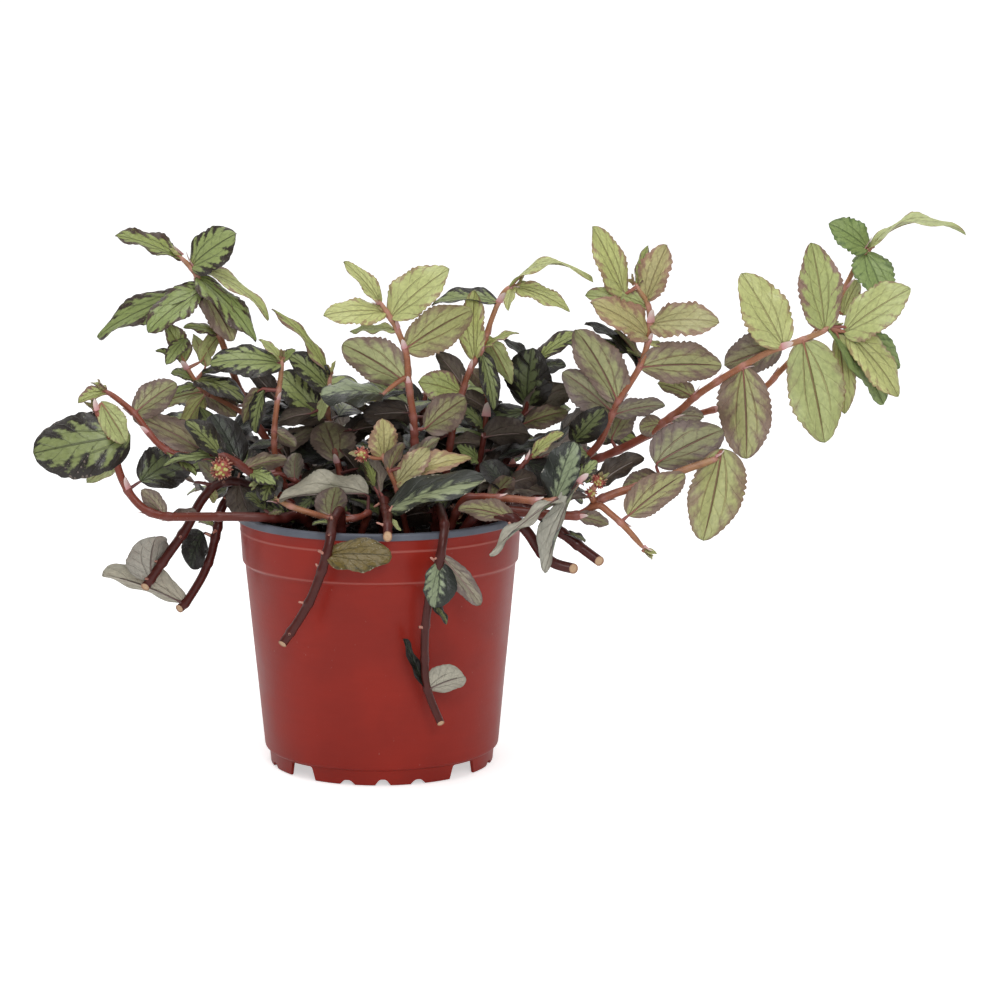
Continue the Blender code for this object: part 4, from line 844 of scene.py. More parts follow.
lay_out(
    "shoot_right_long", root=(38, 6), radii=(2.2, 1.2),
    route=[
        (48, 110, 5), (62, 116, 4), (76, 122.5, 2), (89, 129, 0), (100, 133.8, -2),
        (112, 140, -4), (120, 146, -5), (128, 152, -6), (134, 157.5, -7), (145, 165, -8),
        (155, 171, -9), (165, 176.5, -10), (180, 182, -11), (187, 185, -12), (191, 188, -12),
    ],
    leaves=[
        ((170, 179.5), (153.5, 209.5), -4, 22, 14, 10, 5, FRESH),
        ((187.5, 186), (182, 222.5), -6, 20, 18, 12, 5, YOUNG),
        ((169, 179), (146, 171), 9, 18, 158, 8, 6, MID),
        ((154.5, 168), (156, 130.5), -9, 24, 168, 12, 6, YOUNG),
        ((179, 181), (189, 137.5), -11, 26, 168, 12, 6, FRESH),
        ((194, 184), (197.5, 150), -5, 11, 160, 10, 6, FRESH),
        ((196, 184.5), (224, 203.5), -6, 21, 26, 14, 6, FRESH),
        ((198, 184.5), (221, 158), -2, 17, 28, 12, 6, FRESH),
        ((198, 187), (221, 170), 8, 13, 28, 12, 6, GREEN),
        ((98, 139), (107, 155.5), 9, 13, 160, 8, 6, MID),
        ((119.5, 145.5), (110, 143.5), -5, 10, 160, 8, 6, MID),
        ((124, 149), (137, 149), 8, 10, 150, 8, 6, MID),
        ((133, 157.5), (118, 163.5), 3, 9, 150, 8, 6, YOUNG),
    ],
)
lay_out(
    "shoot_right_high", root=(30, 26), radii=(1.9, 1.0),
    route=[
        (42, 112, 27), (60, 119, 26), (80, 126, 24), (100, 133.5, 21), (112, 139.5, 19),
        (122, 145, 17), (134, 149.5, 15), (146, 153, 13), (156, 157, 11), (164, 162, 10),
        (169, 167.5, 9), (177, 176, 9), (186, 187, 8), (192, 195, 7), (197, 205, 6),
        (202.5, 216, 5), (207, 221, 4),
    ],
    leaves=[
        ((207, 222.5), (246.5, 227), -10, 12, 68, 12, 22, FRESH),
        ((205, 221.5), (190, 231), -4, 15, 28, 14, 6, GREEN),
        ((206, 217.5), (213, 199), -12, 18, 20, 10, 6, GREEN),
        ((196, 204), (191, 196.5), 3, 6, 40, 10, 5, FRESH),
    ],
)
lay_out(
    "shoot_right_low", root=(40, -26), radii=(2.3, 1.5),
    route=[
        (47, 109, -28), (54, 108.3, -29), (64, 107.3, -30), (76, 106.3, -31), (84, 106.2, -31),
        (89, 108.5, -30), (93, 112.5, -29), (100, 115.7, -28), (110, 118.7, -27),
        (119, 121.5, -26), (130, 126, -25), (138, 128.8, -24), (144, 131, -24),
    ],
    branches=[
        [(88, 108, -30.3), (93, 110.5, -32), (98, 107, -33), (104.5, 101, -34), (112.5, 91.8, -35)],
        [(91.5, 111, -29.5), (90, 116, -32), (93, 121, -33)],
    ],
    leaves=[
        ((117, 128.5), (145.5, 143.5), -5, 23, 166, 12, 8, MID),
        ((145.5, 135), (138, 95), -9, 25, 170, 14, 6, YOUNG),
        ((105.5, 106), (129.5, 124.5), -4, 17, 160, 12, 6, YOUNG),
        ((119.5, 124), (103.5, 118.5), 6, 12, 150, 8, 6, MID),
        ((93, 118), (111, 132), 7, 11, 148, 10, 6, DARK),
        ((84, 104), (97.5, 102.5), -3, 9, 130, 10, 6, MID),
    ],
    blooms=[((93, 121, -33), 3.0), ((90, 116, -32), 2.2)],
)
lay_out(
    "shoot_front_right", root=(29, -32.5), radii=(2.0, 1.3),
    route=[
        (35, 112, -37), (42, 114, -38.5), (48, 113.8, -39.5), (58, 113.2, -41),
        (66, 112.4, -42), (74, 112.5, -42), (80, 115.5, -42), (85, 121.5, -42),
    ],
    leaves=[
        ((78, 112), (47, 88), -16, 10, 235, -22, -5, PAINTED_SHEEN),
        ((85, 121.5), (71.5, 80.5), -10, 14, 228, -42, -5, PAINTED_SHEEN),
        ((74, 114), (82, 138), 2, 16, 22, 10, 6, PAINTED_SHEEN),
        ((84, 120), (92, 130), 3, 7, 35, 10, 6, OLD),
    ],
)
lay_out(
    "cut_stem_right_front", root=(35, -38), radii=(2.3, 2.2),
    route=[
        (41, 107, -40.5), (45, 107.5, -41), (51, 106.6, -42), (57, 104.5, -43),
        (63, 98.5, -43), (68, 91, -42), (74, 85.5, -41), (82.5, 83, -41),
    ],
    leaves=[((57, 105), (33, 110), -6, 12, 148, 10, 8, MID)],
)
lay_out(
    "cut_stem_right_back", root=(45, -14), radii=(2.3, 2.2),
    route=[(53, 109.2, -15), (61, 109.6, -15.5), (68, 106.4, -16), (76, 99.8, -17),
           (84, 93.5, -18), (93.5, 86.3, -19)],
    leaves=[((78, 98.5), (87.5, 95), -5, 7, 65, 10, 8, OLD)],
)
lay_out(
    "cut_stub", root=(32, -12), radii=(2.2, 2.1),
    route=[(32.5, 106.5, -18), (33, 107.3, -23), (33, 106.6, -29)],
    leaves=[],
)
lay_out(
    "trailing_stem_left_outer", root=(-40, -2), radii=(2.1, 2.0),
    route=[
        (-47, 110, 0), (-53, 117, 1), (-60, 120.5, 1), (-67, 120.5, 1), (-72, 117.5, 0),
        (-76, 113, -1), (-79, 108, -2), (-82, 102, -3), (-86, 96, -3), (-91, 89, -3),
        (-96, 82, -3), (-101, 75, -3),
    ],
    leaves=[
        ((-99, 78), (-96.5, 97.5), -7, 21, 168, 14, 8, PAINTED_SHEEN),
        ((-68, 120), (-77, 129.5), 5, 8, 150, 8, 6, MID),
        ((-60, 121), (-56, 107), -12, 16, 158, 8, 8, DARK),
        ((-72, 117), (-70, 111.5), -5, 5, 150, 8, 5, YOUNG),
        ((-66, 121), (-76, 153), 8, 16, 50, 8, 10, DARK),
    ],
)
lay_out(
    "trailing_stem_left_inner", root=(-38, 16), radii=(2.1, 1.9),
    route=[
        (-46, 112, 17), (-53, 117.5, 17), (-60, 117, 16), (-65.5, 113, 14), (-68.5, 107, 12),
        (-69.5, 101, 10), (-71, 95, 9), (-73, 87.5, 8), (-76.5, 79.5, 7), (-81, 72, 6),
        (-84, 67.8, 6), (-86.5, 65.5, 6),
    ],
    leaves=[
        ((-86, 69), (-119, 82), -8, 17, 140, 32, 4, PAINTED_SHEEN),
        ((-76, 99), (-82, 83.5), -1, 15, 28, 14, 6, DARK),
        ((-71, 101), (-77.5, 104), 2, 5, 60, 10, 5, MID),
    ],
)
lay_out(
    "shoot_crown_left", root=(-17, -18), radii=(1.5, 1.0),
    route=[(-23, 111, -22), (-29, 116, -25), (-36, 121, -27), (-44, 124, -28.5), (-51, 121.5, -30)],
    leaves=[
        ((-36, 122), (-36, 133.5), -4, 10, 150, 10, 6, MID),
        ((-44, 124), (-50, 113), -8, 13, 40, 8, 8, DARK),
        ((-30, 116.5), (-25, 128), -4, 12, 140, 10, 8, DARK),
        ((-52, 121), (-62, 116), -4, 10, 140, 10, 8, DARK),
        ((-27, 115), (-35, 108), -4, 10, 40, 8, 8, DARK),
    ],
)

# Short dark shoots that fill the crown, each as its root and the place of its top. Their
# dark leaves are partly painted shade deep in the crown.
CROWN_SHOOTS = [
    ((-45, 25), (-74, 148, 34)),
    ((-14, 22), (-36, 158, 32)),
    ((-1, 14), (-3, 150, 20)),
    ((13, 20), (20, 160, 28)),
    ((22.5, 39.5), (31, 150, 47)),
    ((49, 11), (88, 143, 8)),
]
CROWN_LEAVES = 5
CROWN_LEAF_LENGTH = 25
CROWN_RADII = (1.6, 1.1)
FILL_WIDTHS = (0.5, 0.62)  # of a leaf's length
FILL_TURNS = (30, 100)
FILL_FOLD = 10
FILL_ARCH = 8

# Shoots on the far side, which trail outwards over the rim by one rule
BACK_ANGLES = (50, 70, 90, 110, 132)  # degrees from +X round to the back
BACK_ROOT = 36
BACK_REACH = 74
BACK_RISE = 27
BACK_DROP = 48
BACK_STEPS = 7
BACK_DRIFT = 9
HUNG_REACH = 0.62  # of a rising shoot's reach
HUNG_FROM = 0.6
BACK_RADII = (2.0, 1.3)
BACK_LEAVES = 5
BACK_LEAF_LENGTH = 25
FIRST_BACK_LEAF = 0.34
FILL_SEED = 7


def seen(across, up, depth):
    """The place, at this depth, that EYE sees at this point of the upright plane."""
    on_plane = Vector((across, 0, up))
    return EYE + (on_plane - EYE) * ((depth - EYE.y) / -EYE.y)


def as_seen(point):
    """The inverse of seen: the (across, up, depth) of a place."""
    on_plane = EYE + (point - EYE) * (-EYE.y / (point.y - EYE.y))
    return (on_plane.x, on_plane.z, point.y)


def leaf_on(axis, share, heading, length, chance, tone):
    """A leaf that starts at this share along a shoot's axis, listed as the others are."""
    spot = share * (len(axis) - 1)
    first = min(int(spot), len(axis) - 2)
    base = axis[first].lerp(axis[first + 1], spot - first)
    near, far = as_seen(base), as_seen(base + heading.normalized() * length)
    return (
        near[:2], far[:2], far[2] - near[2], length * chance.uniform(*FILL_WIDTHS),
        chance.uniform(*FILL_TURNS), FILL_FOLD, FILL_ARCH, tone,
    )


def crown_shoot(index, root, top, chance):
    """A short upright shoot with dark leaves to both sides."""
    foot = Vector((*root, SOIL_TOP + SOIL_CROWN + CROWN_START))
    head = seen(*top)
    lean = Vector((head.x - foot.x, head.y - foot.y, 0))
    axis = [foot + lean * share ** 1.5 + Vector((0, 0, (head.z - foot.z) * share))
            for share in (0.2, 0.4, 0.6, 0.8, 1)]
    leaves = []
    for place in range(CROWN_LEAVES):
        share = place / (CROWN_LEAVES - 1)
        side = 1 if (place + index) % 2 else -1
        heading = Vector((side, chance.uniform(-0.45, 0.6), chance.uniform(-0.3, 0.7)))
        length = CROWN_LEAF_LENGTH * chance.uniform(0.85, 1.15)
        leaves.append(leaf_on(axis, share, heading, length, chance, DARK if place % 2 else OLD))
    return dict(
        name=f"shoot_crown_{index + 1}", root=root, radii=CROWN_RADII,
        route=[as_seen(point) for point in axis], leaves=leaves,
    )


def back_shoot(index, angle, chance):
    """A shoot that leaves the far side of the pot at this angle; every other one hangs."""
    out = Vector((math.cos(math.radians(angle)), math.sin(math.radians(angle)), 0))
    sideways = Vector((-out.y, out.x, 0))
    hangs = index % 2
    reach = BACK_REACH * (HUNG_REACH if hangs else 1) * chance.uniform(0.9, 1.05)
    drift = chance.uniform(-BACK_DRIFT, BACK_DRIFT)
    rise = BACK_RISE * chance.uniform(0.9, 1.1)
    axis = []
    for step in range(1, BACK_STEPS + 1):
        share = step / BACK_STEPS
        arch = rise * math.sin(math.pi * min(1, share * 1.35))
        height = SOIL_TOP + SOIL_CROWN + BACK_START + arch
        if hangs:
            height -= BACK_DROP * max(0, share - HUNG_FROM) / (1 - HUNG_FROM)
        point = out * (BACK_ROOT + reach * share ** 0.9) + sideways * drift * share
        point.z = height
        axis.append(point)
    leaves = []
    for place in range(BACK_LEAVES):
        side = 1 if place % 2 else -1
        heading = out * 0.7 + sideways * side * chance.uniform(0.7, 1.1)
        if place == BACK_LEAVES - 1:
            heading = out + sideways * side * 0.2
        heading.z = chance.uniform(-0.35, 0.3)
        length = BACK_LEAF_LENGTH * chance.uniform(0.8, 1.15)
        share = FIRST_BACK_LEAF + (1 - FIRST_BACK_LEAF) * place / (BACK_LEAVES - 1)
        leaves.append(leaf_on(axis, share, heading, length, chance, OLD if place < 3 else MID))
    return dict(
        name=f"shoot_back_{index + 1}", root=(out.x * BACK_ROOT, out.y * BACK_ROOT),
        radii=BACK_RADII, route=[as_seen(point) for point in axis], leaves=leaves,
    )


def filling_shoots():
    """The shoots that no place in the photograph gives, by rule."""
    chance = random.Random(FILL_SEED)
    crown = [crown_shoot(index, *ends, chance) for index, ends in enumerate(CROWN_SHOOTS)]
    return crown + [back_shoot(index, angle, chance) for index, angle in enumerate(BACK_ANGLES)]


def curve_through(points):
    """A smooth line through these points, as many short steps."""
    line = [points[0]]
    for index in range(len(points) - 1):
        before = points[max(index - 1, 0)]
        start, end = points[index], points[index + 1]
        after = points[min(index + 2, len(points) - 1)]
        for step in range(1, CURVE_STEPS + 1):
            t = step / CURVE_STEPS
            line.append(0.5 * (
                2 * start + (end - before) * t
                + (2 * before - 5 * start + 4 * end - after) * t ** 2
                + (3 * start - before - 3 * end + after) * t ** 3
            ))
    return line


def rings(line):
    """The few points of a line that its tube needs: close together only where it bends."""
    places = [line[0]]
    heading, travelled = None, 0
    for start, end in zip(line, line[1:]):
        step = end - start
        if step.length < 0.01:
            continue
        heading = heading or step.copy()
        travelled += step.length
        bends = step.angle(heading) > RING_TURN and travelled > SHORTEST_RING
        if travelled > RING_SPACING or bends:
            places.append(end)
            heading, travelled = None, 0
    if (places[-1] - line[-1]).length < SHORTEST_RING and len(places) > 2:
        places.pop()
    return places + [line[-1]]


def finely(places):
    """The same run of straight pieces, as points about 1 mm apart that stop short of its
    ends, so that what grows from one starts well inside the stem."""
    fine = []
    for start, end in zip(places, places[1:]):
        steps = max(1, round((end - start).length))
        fine += [start.lerp(end, (step + 0.37) / steps) for step in range(steps)]
    return fine[1:-1]


def over_root(shoot, height):
    """The place over a shoot's root at this height above the soil's crown."""
    return Vector((*shoot["root"], SOIL_TOP + SOIL_CROWN + height))


def routes_of(shoot):
    """The routes of a shoot's stem and branches; the stem's starts just above its hole."""
    main = [over_root(shoot, ROUTE_START)] + [seen(*spot) for spot in shoot["route"]]
    return [main] + [[seen(*spot) for spot in route] for route in shoot.get("branches", [])]


def extent(points):
    """The lowest and the highest corner of the box round some points."""
    return tuple([pick(p[axis] for p in points) for axis in range(3)] for pick in (min, max))


def obstacle(points, faces):
    """A body that leaves keep clear of, as its box and a tree of its faces."""
    return *extent(points), BVHTree.FromPolygons(points, faces)


def node_obstacle(name):
    """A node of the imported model, in mm from the pot's axis."""
    mesh = frame["nodes"][name].data
    points = [(corner.co - POT_AXIS) / MM for corner in mesh.vertices]
    return obstacle(points, [tuple(face.vertices) for face in mesh.polygons])


def tube_obstacle(points, radii):
    """The plain six-sided tube of a solid stem."""
    curve = bpy.data.curves.new("stem_guide", "CURVE")
    curve.dimensions = "3D"
    curve.bevel_depth = MM
    curve.bevel_resolution = 1
    curve.use_fill_caps = True
    spline = curve.splines.new("POLY")
    spline.points.add(len(points) - 1)
    for index, point in enumerate(points):
        share = index / (len(points) - 1)
        spline.points[index].co = (*(point * MM), 1)
        spline.points[index].radius = radii[0] + (radii[1] - radii[0]) * share
    guide = in_scene("stem_guide", curve)
    graph = bpy.context.evaluated_depsgraph_get()
    mesh = guide.evaluated_get(graph).to_mesh()
    corners = [corner.co / MM for corner in mesh.vertices]
    faces = [tuple(face.vertices) for face in mesh.polygons]
    bpy.data.objects.remove(guide)
    bpy.data.curves.remove(curve)
    return obstacle(corners, faces)


def bloom_obstacle(centre, radius):
    """The knobbly ball of a solid flower cluster."""
    shape = bmesh.new()
    bmesh.ops.create_icosphere(shape, subdivisions=2, radius=radius)
    for index, corner in enumerate(shape.verts):
        corner.co *= KNOB_REACHES[index % 2]
        corner.co += centre
    points = [corner.co.copy() for corner in shape.verts]
    faces = [tuple(corner.index for corner in face.verts) for face in shape.faces]
    shape.free()
    return obstacle(points, faces)


class Blade:
    """One leaf's blade: its place, its frame and its outline."""

    def __init__(self, stem_point, base, tip, width, turn, fold, arch):
        self.stem_point = stem_point
        self.has_petiole = (base - stem_point).length > NEAR_STEM
        self.base = base if self.has_petiole else stem_point
        self.tip = tip
        self.length = (tip - self.base).length
        self.width = width
        along = (tip - stem_point).normalized()
        to_eye = (EYE - self.base).normalized()
        to_eye = (to_eye - along * to_eye.dot(along)).normalized()
        upwards = along.cross(to_eye)
        if upwards.z < 0 or (abs(upwards.z) < 0.2 and upwards.x < 0):
            upwards = -upwards
        turn = math.radians(turn)
        self.along = along
        self.normal = to_eye * math.cos(turn) + upwards * math.sin(turn)
        self.across = self.normal.cross(along)
        self.fold = math.radians(fold)
        self.arch = arch / 100

    def point(self, share, side, half_width):
        """A point of the blade's middle surface: side is -1, 0 or 1, and share is below 0
        along the petiole."""
        if share < 0:
            middle = self.base.lerp(self.stem_point, -share)
        else:
            middle = self.base.lerp(self.tip, share)
            middle += self.normal * self.arch * self.length * 4 * share * (1 - share)
        off = abs(side) * half_width
        sideways = self.across * side * half_width * math.cos(self.fold)
        return middle + sideways + self.normal * off * math.sin(self.fold)

    def outline(self):
        """The (share along, half width) of each edge point, which go in and out as teeth."""
        count = next(count for length, count in TEETH if self.length >= length)
        points = [(-1, 0), (0, PETIOLE_RADIUS)] if self.has_petiole else [(0, 0)]
        for index in range(count):
            share = (index + 0.7) / (count + 0.25)
            half = self.width / 2 * math.sin(math.pi * share ** 0.78) ** 0.72
            points.append((share, half * TOOTH_REACHES[index % 2]))
        return points + [(1, 0)]

    def shape(self, thickness, margin=0, start=-1):
        """The blade from this share on as (points, faces), its two faces split alike."""
        edge = [(share, half + margin) for share, half in self.outline() if share >= start]
        ribs = [share for share in (0, 0.5, 1) if share >= start]
        if self.has_petiole and start < 0:
            ribs.insert(0, -1)
        points, faces = [], []
        for lift in (thickness / 2, -thickness / 2):
            rise = self.normal * lift
            for share in ribs:
                beyond = margin / self.length if share == 1 else 0
                points.append(self.point(share + beyond, 0, 0) + rise)
            for side in (-1, 1):
                points += [self.point(share, side, half) + rise for share, half in edge[1:-1]]
        last = len(ribs) - 1
        inner = len(edge) - 2
        rims = [
            [0] + [last + 1 + side * inner + i for i in range(inner)] + [last] for side in (0, 1)
        ]
        for side, rim in enumerate(rims):
            at_edge, at_rib = 0, 0
            while at_edge < inner + 1 or at_rib < last:
                edge_next = edge[at_edge + 1][0] if at_edge < inner + 1 else 9
                rib_next = ribs[at_rib + 1] if at_rib < last else 9
                if edge_next <= rib_next:
                    face = (rim[at_edge], at_rib, rim[at_edge + 1])
                    at_edge += 1
                else:
                    face = (rim[at_edge], at_rib, at_rib + 1)
                    at_rib += 1
                if len(set(face)) == 3:
                    faces.append(face if side else face[::-1])
        size = len(points) // 2
        faces += [tuple(corner + size for corner in reversed(face)) for face in faces]
        loop = rims[1] + list(reversed(rims[0]))[1:-1]
        for a, b in zip(loop, loop[1:] + loop[:1]):
            faces += [(a, b, b + size), (a, b + size, a + size)]
        return points, faces


def touches(blade, obstacles, gap, start=-1):
    """Whether a blade, from this share on and with this gap all round, meets any obstacle."""
    points, faces = blade.shape(BLADE_THICKNESS + 2 * gap, gap, start)
    low, high = extent(points)
    tree = None
    for other_low, other_high, other in obstacles:
        if all(low[i] < other_high[i] and high[i] > other_low[i] for i in range(3)):
            tree = tree or BVHTree.FromPolygons(points, faces)
            if tree.overlap(other):
                return True
    return False


# How a leaf that meets another shoot is bent clear: its tip moves along the line of sight
# by a share of its length and its turn changes, least first; failing that it shrinks
BENDS = sorted(
    ((move, twist) for move in (0, -0.15, 0.15, -0.3, 0.3, -0.5, 0.5, 0.75, -0.75)
     for twist in (0, 18, -18, 36, -36)),
    key=lambda bend: abs(bend[0]) + abs(bend[1]) / 90,
)
SHRINKS = (1, 0.82, 0.66, 0.5)
OWN_START = 0.25  # nearer to its stem than this, a leaf may meet its own shoot's leaves


def bent_clear(leaf, lines, others, own):
    """The blade of this leaf, bent clear of other shoots and if it can be of its own."""
    (base_x, base_z), (tip_x, tip_z), lean, width, turn, fold, arch, _ = leaf

    def apart(place):
        across, up, _ = as_seen(place)
        return (across - base_x) ** 2 + (up - base_z) ** 2

    stem_point = min((place for line in lines for place in finely(line)), key=apart)
    base = seen(base_x, base_z, stem_point.y)
    length = math.dist((base_x, base_z), (tip_x, tip_z))
    fallback = None
    for shrink in SHRINKS:
        for move, twist in BENDS:
            across = base_x + (tip_x - base_x) * shrink
            up = base_z + (tip_z - base_z) * shrink
            tip = seen(across, up, stem_point.y + (lean + move * length) * shrink)
            blade = Blade(stem_point, base, tip, width * shrink, turn + twist, fold, arch)
            if touches(blade, others, CLEARANCE):
                continue
            if not touches(blade, own, CLEARANCE, OWN_START):
                return blade
            fallback = fallback or blade
        if fallback:
            break
    return fallback


shoots = SHOOTS + filling_shoots()
obstacles = {"pot": [node_obstacle("pot")], "soil": [node_obstacle("soil")]}
lines = {}
for shoot in shoots:
    lines[shoot["name"]] = [rings(curve_through(route)) for route in routes_of(shoot)]
    main = [over_root(shoot, ROOT_GAP - HOLE_DEPTH)] + lines[shoot["name"]][0]
    obstacles[shoot["name"]] = [tube_obstacle(main, shoot["radii"])]
blades = {shoot["name"]: [] for shoot in shoots}


def others_than(name):
    """The obstacles of the pot, the soil and every other shoot."""
    return [item for key, items in obstacles.items() if key != name for item in items]


def hang(name, blade, tone):
    """Gives a shoot this leaf, which leaves after it keep clear of."""
    blades[name].append((blade, tone))
    obstacles[name].append(obstacle(*blade.shape(BLADE_THICKNESS)))


def hang_listed(name, leaves):
    """Hangs those of a shoot's listed leaves that can be bent clear."""
    others = others_than(name)
    for leaf in leaves:
        blade = bent_clear(leaf, lines[name], others, obstacles[name])
        if blade:
            hang(name, blade, leaf[-1])


for shoot in shoots:
    name = shoot["name"]
    for line in lines[name][1:]:
        obstacles[name].append(tube_obstacle(line, (shoot["radii"][1],) * 2))
    hang_listed(name, shoot["leaves"])
    for spot, radius in shoot.get("blooms", []):
        obstacles[name].append(bloom_obstacle(seen(*spot), radius))

# The crown is thick with more small leaves than the solids carry. Some that the photograph
# shows are listed, as the others are, and the rest grow by rule: each is tried at a
# few headings from its joint, and kept where it is clear of everything that stands there
# and hides nothing that is listed.
LISTED_EXTRAS = {
    "shoot_right_inner": [
        ((98, 151), (78, 168), 8, 17, 158, 10, 6, MID),
        ((108, 176), (78, 180), 6, 9, 50, 12, 8, OLD),
        ((107, 172), (88, 190), 8, 9, 60, 12, 8, DARK),
    ],
    "shoot_right_long": [((193, 186), (214, 154), 7, 15, 30, 12, 6, GREEN)],
    "shoot_right_high": [((195.5, 192), (202, 207), 5, 10, 30, 12, 6, FRESH)],
    "shoot_left_tall": [
        ((-82, 182), (-90, 172), -4, 8, 30, 10, 6, MID),
        ((-76, 172), (-66, 186), 5, 9, 150, 10, 6, FRESH),
    ],
    "shoot_left": [((-90, 134), (-78, 124), -5, 7, 40, 10, 6, MID)],
}
BUD_LEAVES = 3
BUD_SPREAD = 0.6
BUD_LENGTHS = (3.0, 6.5)
BUD_TURNS = (10, 90)
BUD_FOLD = 25
BUD_ARCH = -6
INNER_LEAF_SPACING = 4
INNER_STALK = 5
INNER_GAP = 0.15
INNER_REACH = 74  # from the pot's axis, where the rule's leaves end
INNER_HEIGHTS = (104, 160)
INNER_TIP_HEIGHT = 152
INNER_LENGTHS = (14, 27)
INNER_HEADINGS = ((-1, 1), (-1, 1), (-0.35, 0.6))
INNER_WIDTHS = (0.5, 0.64)  # of a leaf's length
INNER_TURNS = (15, 165)
# Mostly DARK leaves, whose near-black colours are partly painted shade deep in the crown
INNER_TONES = (OLD, DARK, DARK, DARK, DARK)
INNER_TRIES = 10
INNER_SEED = 23
HIDING = 4.0  # how near in the view a leaf hides a point behind it
CLEAR_STEMS = 124  # the height above which every stem stays in view
FRONT_SHOOTS = (  # all of each stays in view
    "trailing_stem_front_left", "trailing_stem_front_right", "cut_stem_front", "shoot_front_left",
    "young_shoot_front", "shoot_far_left", "shoot_front_right", "shoot_right_low",
)
LOWEST_LEAF = SOIL_TOP + 4
LIP_HEIGHT_CLEAR = 113  # below this, and farther out than the next, a leaf meets the lip
LIP_REACH_CLEAR = 56


def spread_points(blade):
    """Points spread over a blade."""
    half = blade.width * 0.4
    shares, sides = (0.25, 0.5, 0.75, 1), (-1, 0, 1)
    return [blade.point(share, side, half) for share in shares for side in sides]


def hides(blade, listed):
    """Whether a blade stands in front of any of these points, as seen by the viewer."""
    points = np.array([as_seen(point) for point in spread_points(blade)])
    apart = np.hypot(
        points[:, None, 0] - listed[None, :, 0], points[:, None, 1] - listed[None, :, 1]
    )
    return bool(np.any((apart < HIDING) & (points[:, None, 2] < listed[None, :, 2])))


def over_lip(blade):
    """Whether a blade hangs over the pot's lip."""
    return any(
        point.z < LOWEST_LEAF
        or point.z < LIP_HEIGHT_CLEAR and math.hypot(point.x, point.y) > LIP_REACH_CLEAR
        for point in spread_points(blade)
    )


chance = random.Random(INNER_SEED)
for shoot in SHOOTS:
    name = shoot["name"]
    if not name.startswith(("shoot", "young")):
        continue
    others = others_than(name)
    for line in lines[name]:
        end, ahead = line[-1], (line[-1] - line[-2]).normalized()
        for _ in range(BUD_LEAVES):
            heading = ahead + Vector([chance.uniform(-BUD_SPREAD, BUD_SPREAD) for _ in range(3)])
            tip = end + heading.normalized() * chance.uniform(*BUD_LENGTHS)
            width, turn = (tip - end).length * 0.5, chance.uniform(*BUD_TURNS)
            blade = Blade(end, end, tip, width, turn, BUD_FOLD, BUD_ARCH)
            if not touches(blade, others, INNER_GAP):
                blades[name].append((blade, chance.choice((FRESH, BLUSHED))))

for name, leaves in LISTED_EXTRAS.items():
    hang_listed(name, leaves)

listed = []
for shoot in SHOOTS:
    name = shoot["name"]
    in_front = name in FRONT_SHOOTS
    for line in lines[name]:
        shown = [point for point in finely(line)[::2] if in_front or point.z > CLEAR_STEMS]
        listed += [as_seen(point) for point in shown]
    for blade, tone in blades[name]:
        if in_front or tone not in (OLD, DARK):
            listed += [as_seen(point) for point in spread_points(blade)]
listed = np.array(listed)


def inner_leaf(name, place, others, chance):
    """A leaf for a joint in the crown; None if each try meets or hides something."""
    for _ in range(INNER_TRIES):
        heading = Vector([chance.uniform(*limits) for limits in INNER_HEADINGS])
        length = chance.uniform(*INNER_LENGTHS)
        heading.normalize()
        base = place + heading * chance.choice((0, INNER_STALK, 2 * INNER_STALK))
        tip = base + heading * length
        width = length * chance.uniform(*INNER_WIDTHS)
        blade = Blade(place, base, tip, width, chance.uniform(*INNER_TURNS), FILL_FOLD, FILL_ARCH)
        if tip.z > INNER_TIP_HEIGHT or over_lip(blade) or hides(blade, listed):
            continue
        if touches(blade, others, INNER_GAP):
            continue
        if not touches(blade, obstacles[name], INNER_GAP, OWN_START):
            return blade
    return None


for shoot in shoots:
    name = shoot["name"]
    others = others_than(name)
    for line in lines[name]:
        waiting = 0
        for before, place in zip(finely(line), finely(line)[1:]):
            waiting += (place - before).length
            low, high = INNER_HEIGHTS
            near = math.hypot(place.x, place.y) < INNER_REACH and low < place.z < high
            if waiting < INNER_LEAF_SPACING or not near:
                continue
            blade = inner_leaf(name, place, others, chance)
            waiting = INNER_LEAF_SPACING / 2
            if blade:
                hang(name, blade, chance.choice(INNER_TONES))
                waiting = 0

# Stems
# Juicy round stems, ringed at each joint where a leaf sits: wine-brown and woody at the
# root, red-brown along the run, and tan to pink at the growing end. Each is drawn out along
# its route with swollen joints; the ones that were cut back end in a pale flat face.
STEM_STEP = 1.0
STEM_SIDES = 12
JOINT_SPACING = 15
JOINT_SWELL = 0.17
JOINT_WIDTH = 1.4
JOINT_NECK = 0.07
FIRST_JOINT = 16
LAST_JOINT = 4  # from the tip
BARE_GAP = 7  # a joint without a leaf keeps this far from the others
MERGED_GAP = 3  # joints closer than this are one
BRANCH_RADII = (1.05, 0.8)  # of the radius at the stem's tip
BRANCH_AGES = (0.3, 0.1)  # more than the age at the stem's tip
CUT_SLANT = 0.9
CUT_RIMS = (1, 0.84, 0.5, 0.02)
CUT_HOLLOW = 0.2
SLANT_SHARES = (1, 0.55, 0.2)
TIP_RIMS = (1, 0.6, 0.05)
TIP_STEPS = (0.3, 0.5)
STUBS_FROM = 0.25  # of the way along a stem, like the next
SCALES_FROM = 0.45
OLD_SCALES_LOST = 0.7
SCALE_SIZES = (3.4, 6.0)
STUB_LENGTHS = (1.5, 3.6)
STUB_RADII = (0.85, 0.62, 0.5, 0.55, 0.3)
STUB_SIDES = 7
YOUNG_STEM = 0.6
HAIRS_PER_MM = 1.5
HAIR_LENGTHS = (0.5, 0.9)
HAIR_WIDTH = 0.05
BUD_TAPER = 5
PLANT_SEED = 11
CUT_BACK = (  # their outer ends were cut off
    "trailing_stem_front_left", "trailing_stem_front_right", "cut_stem_front",
    "cut_stem_right_front", "cut_stem_right_back", "cut_stub", "trailing_stem_left_outer",
    "trailing_stem_left_inner",
)

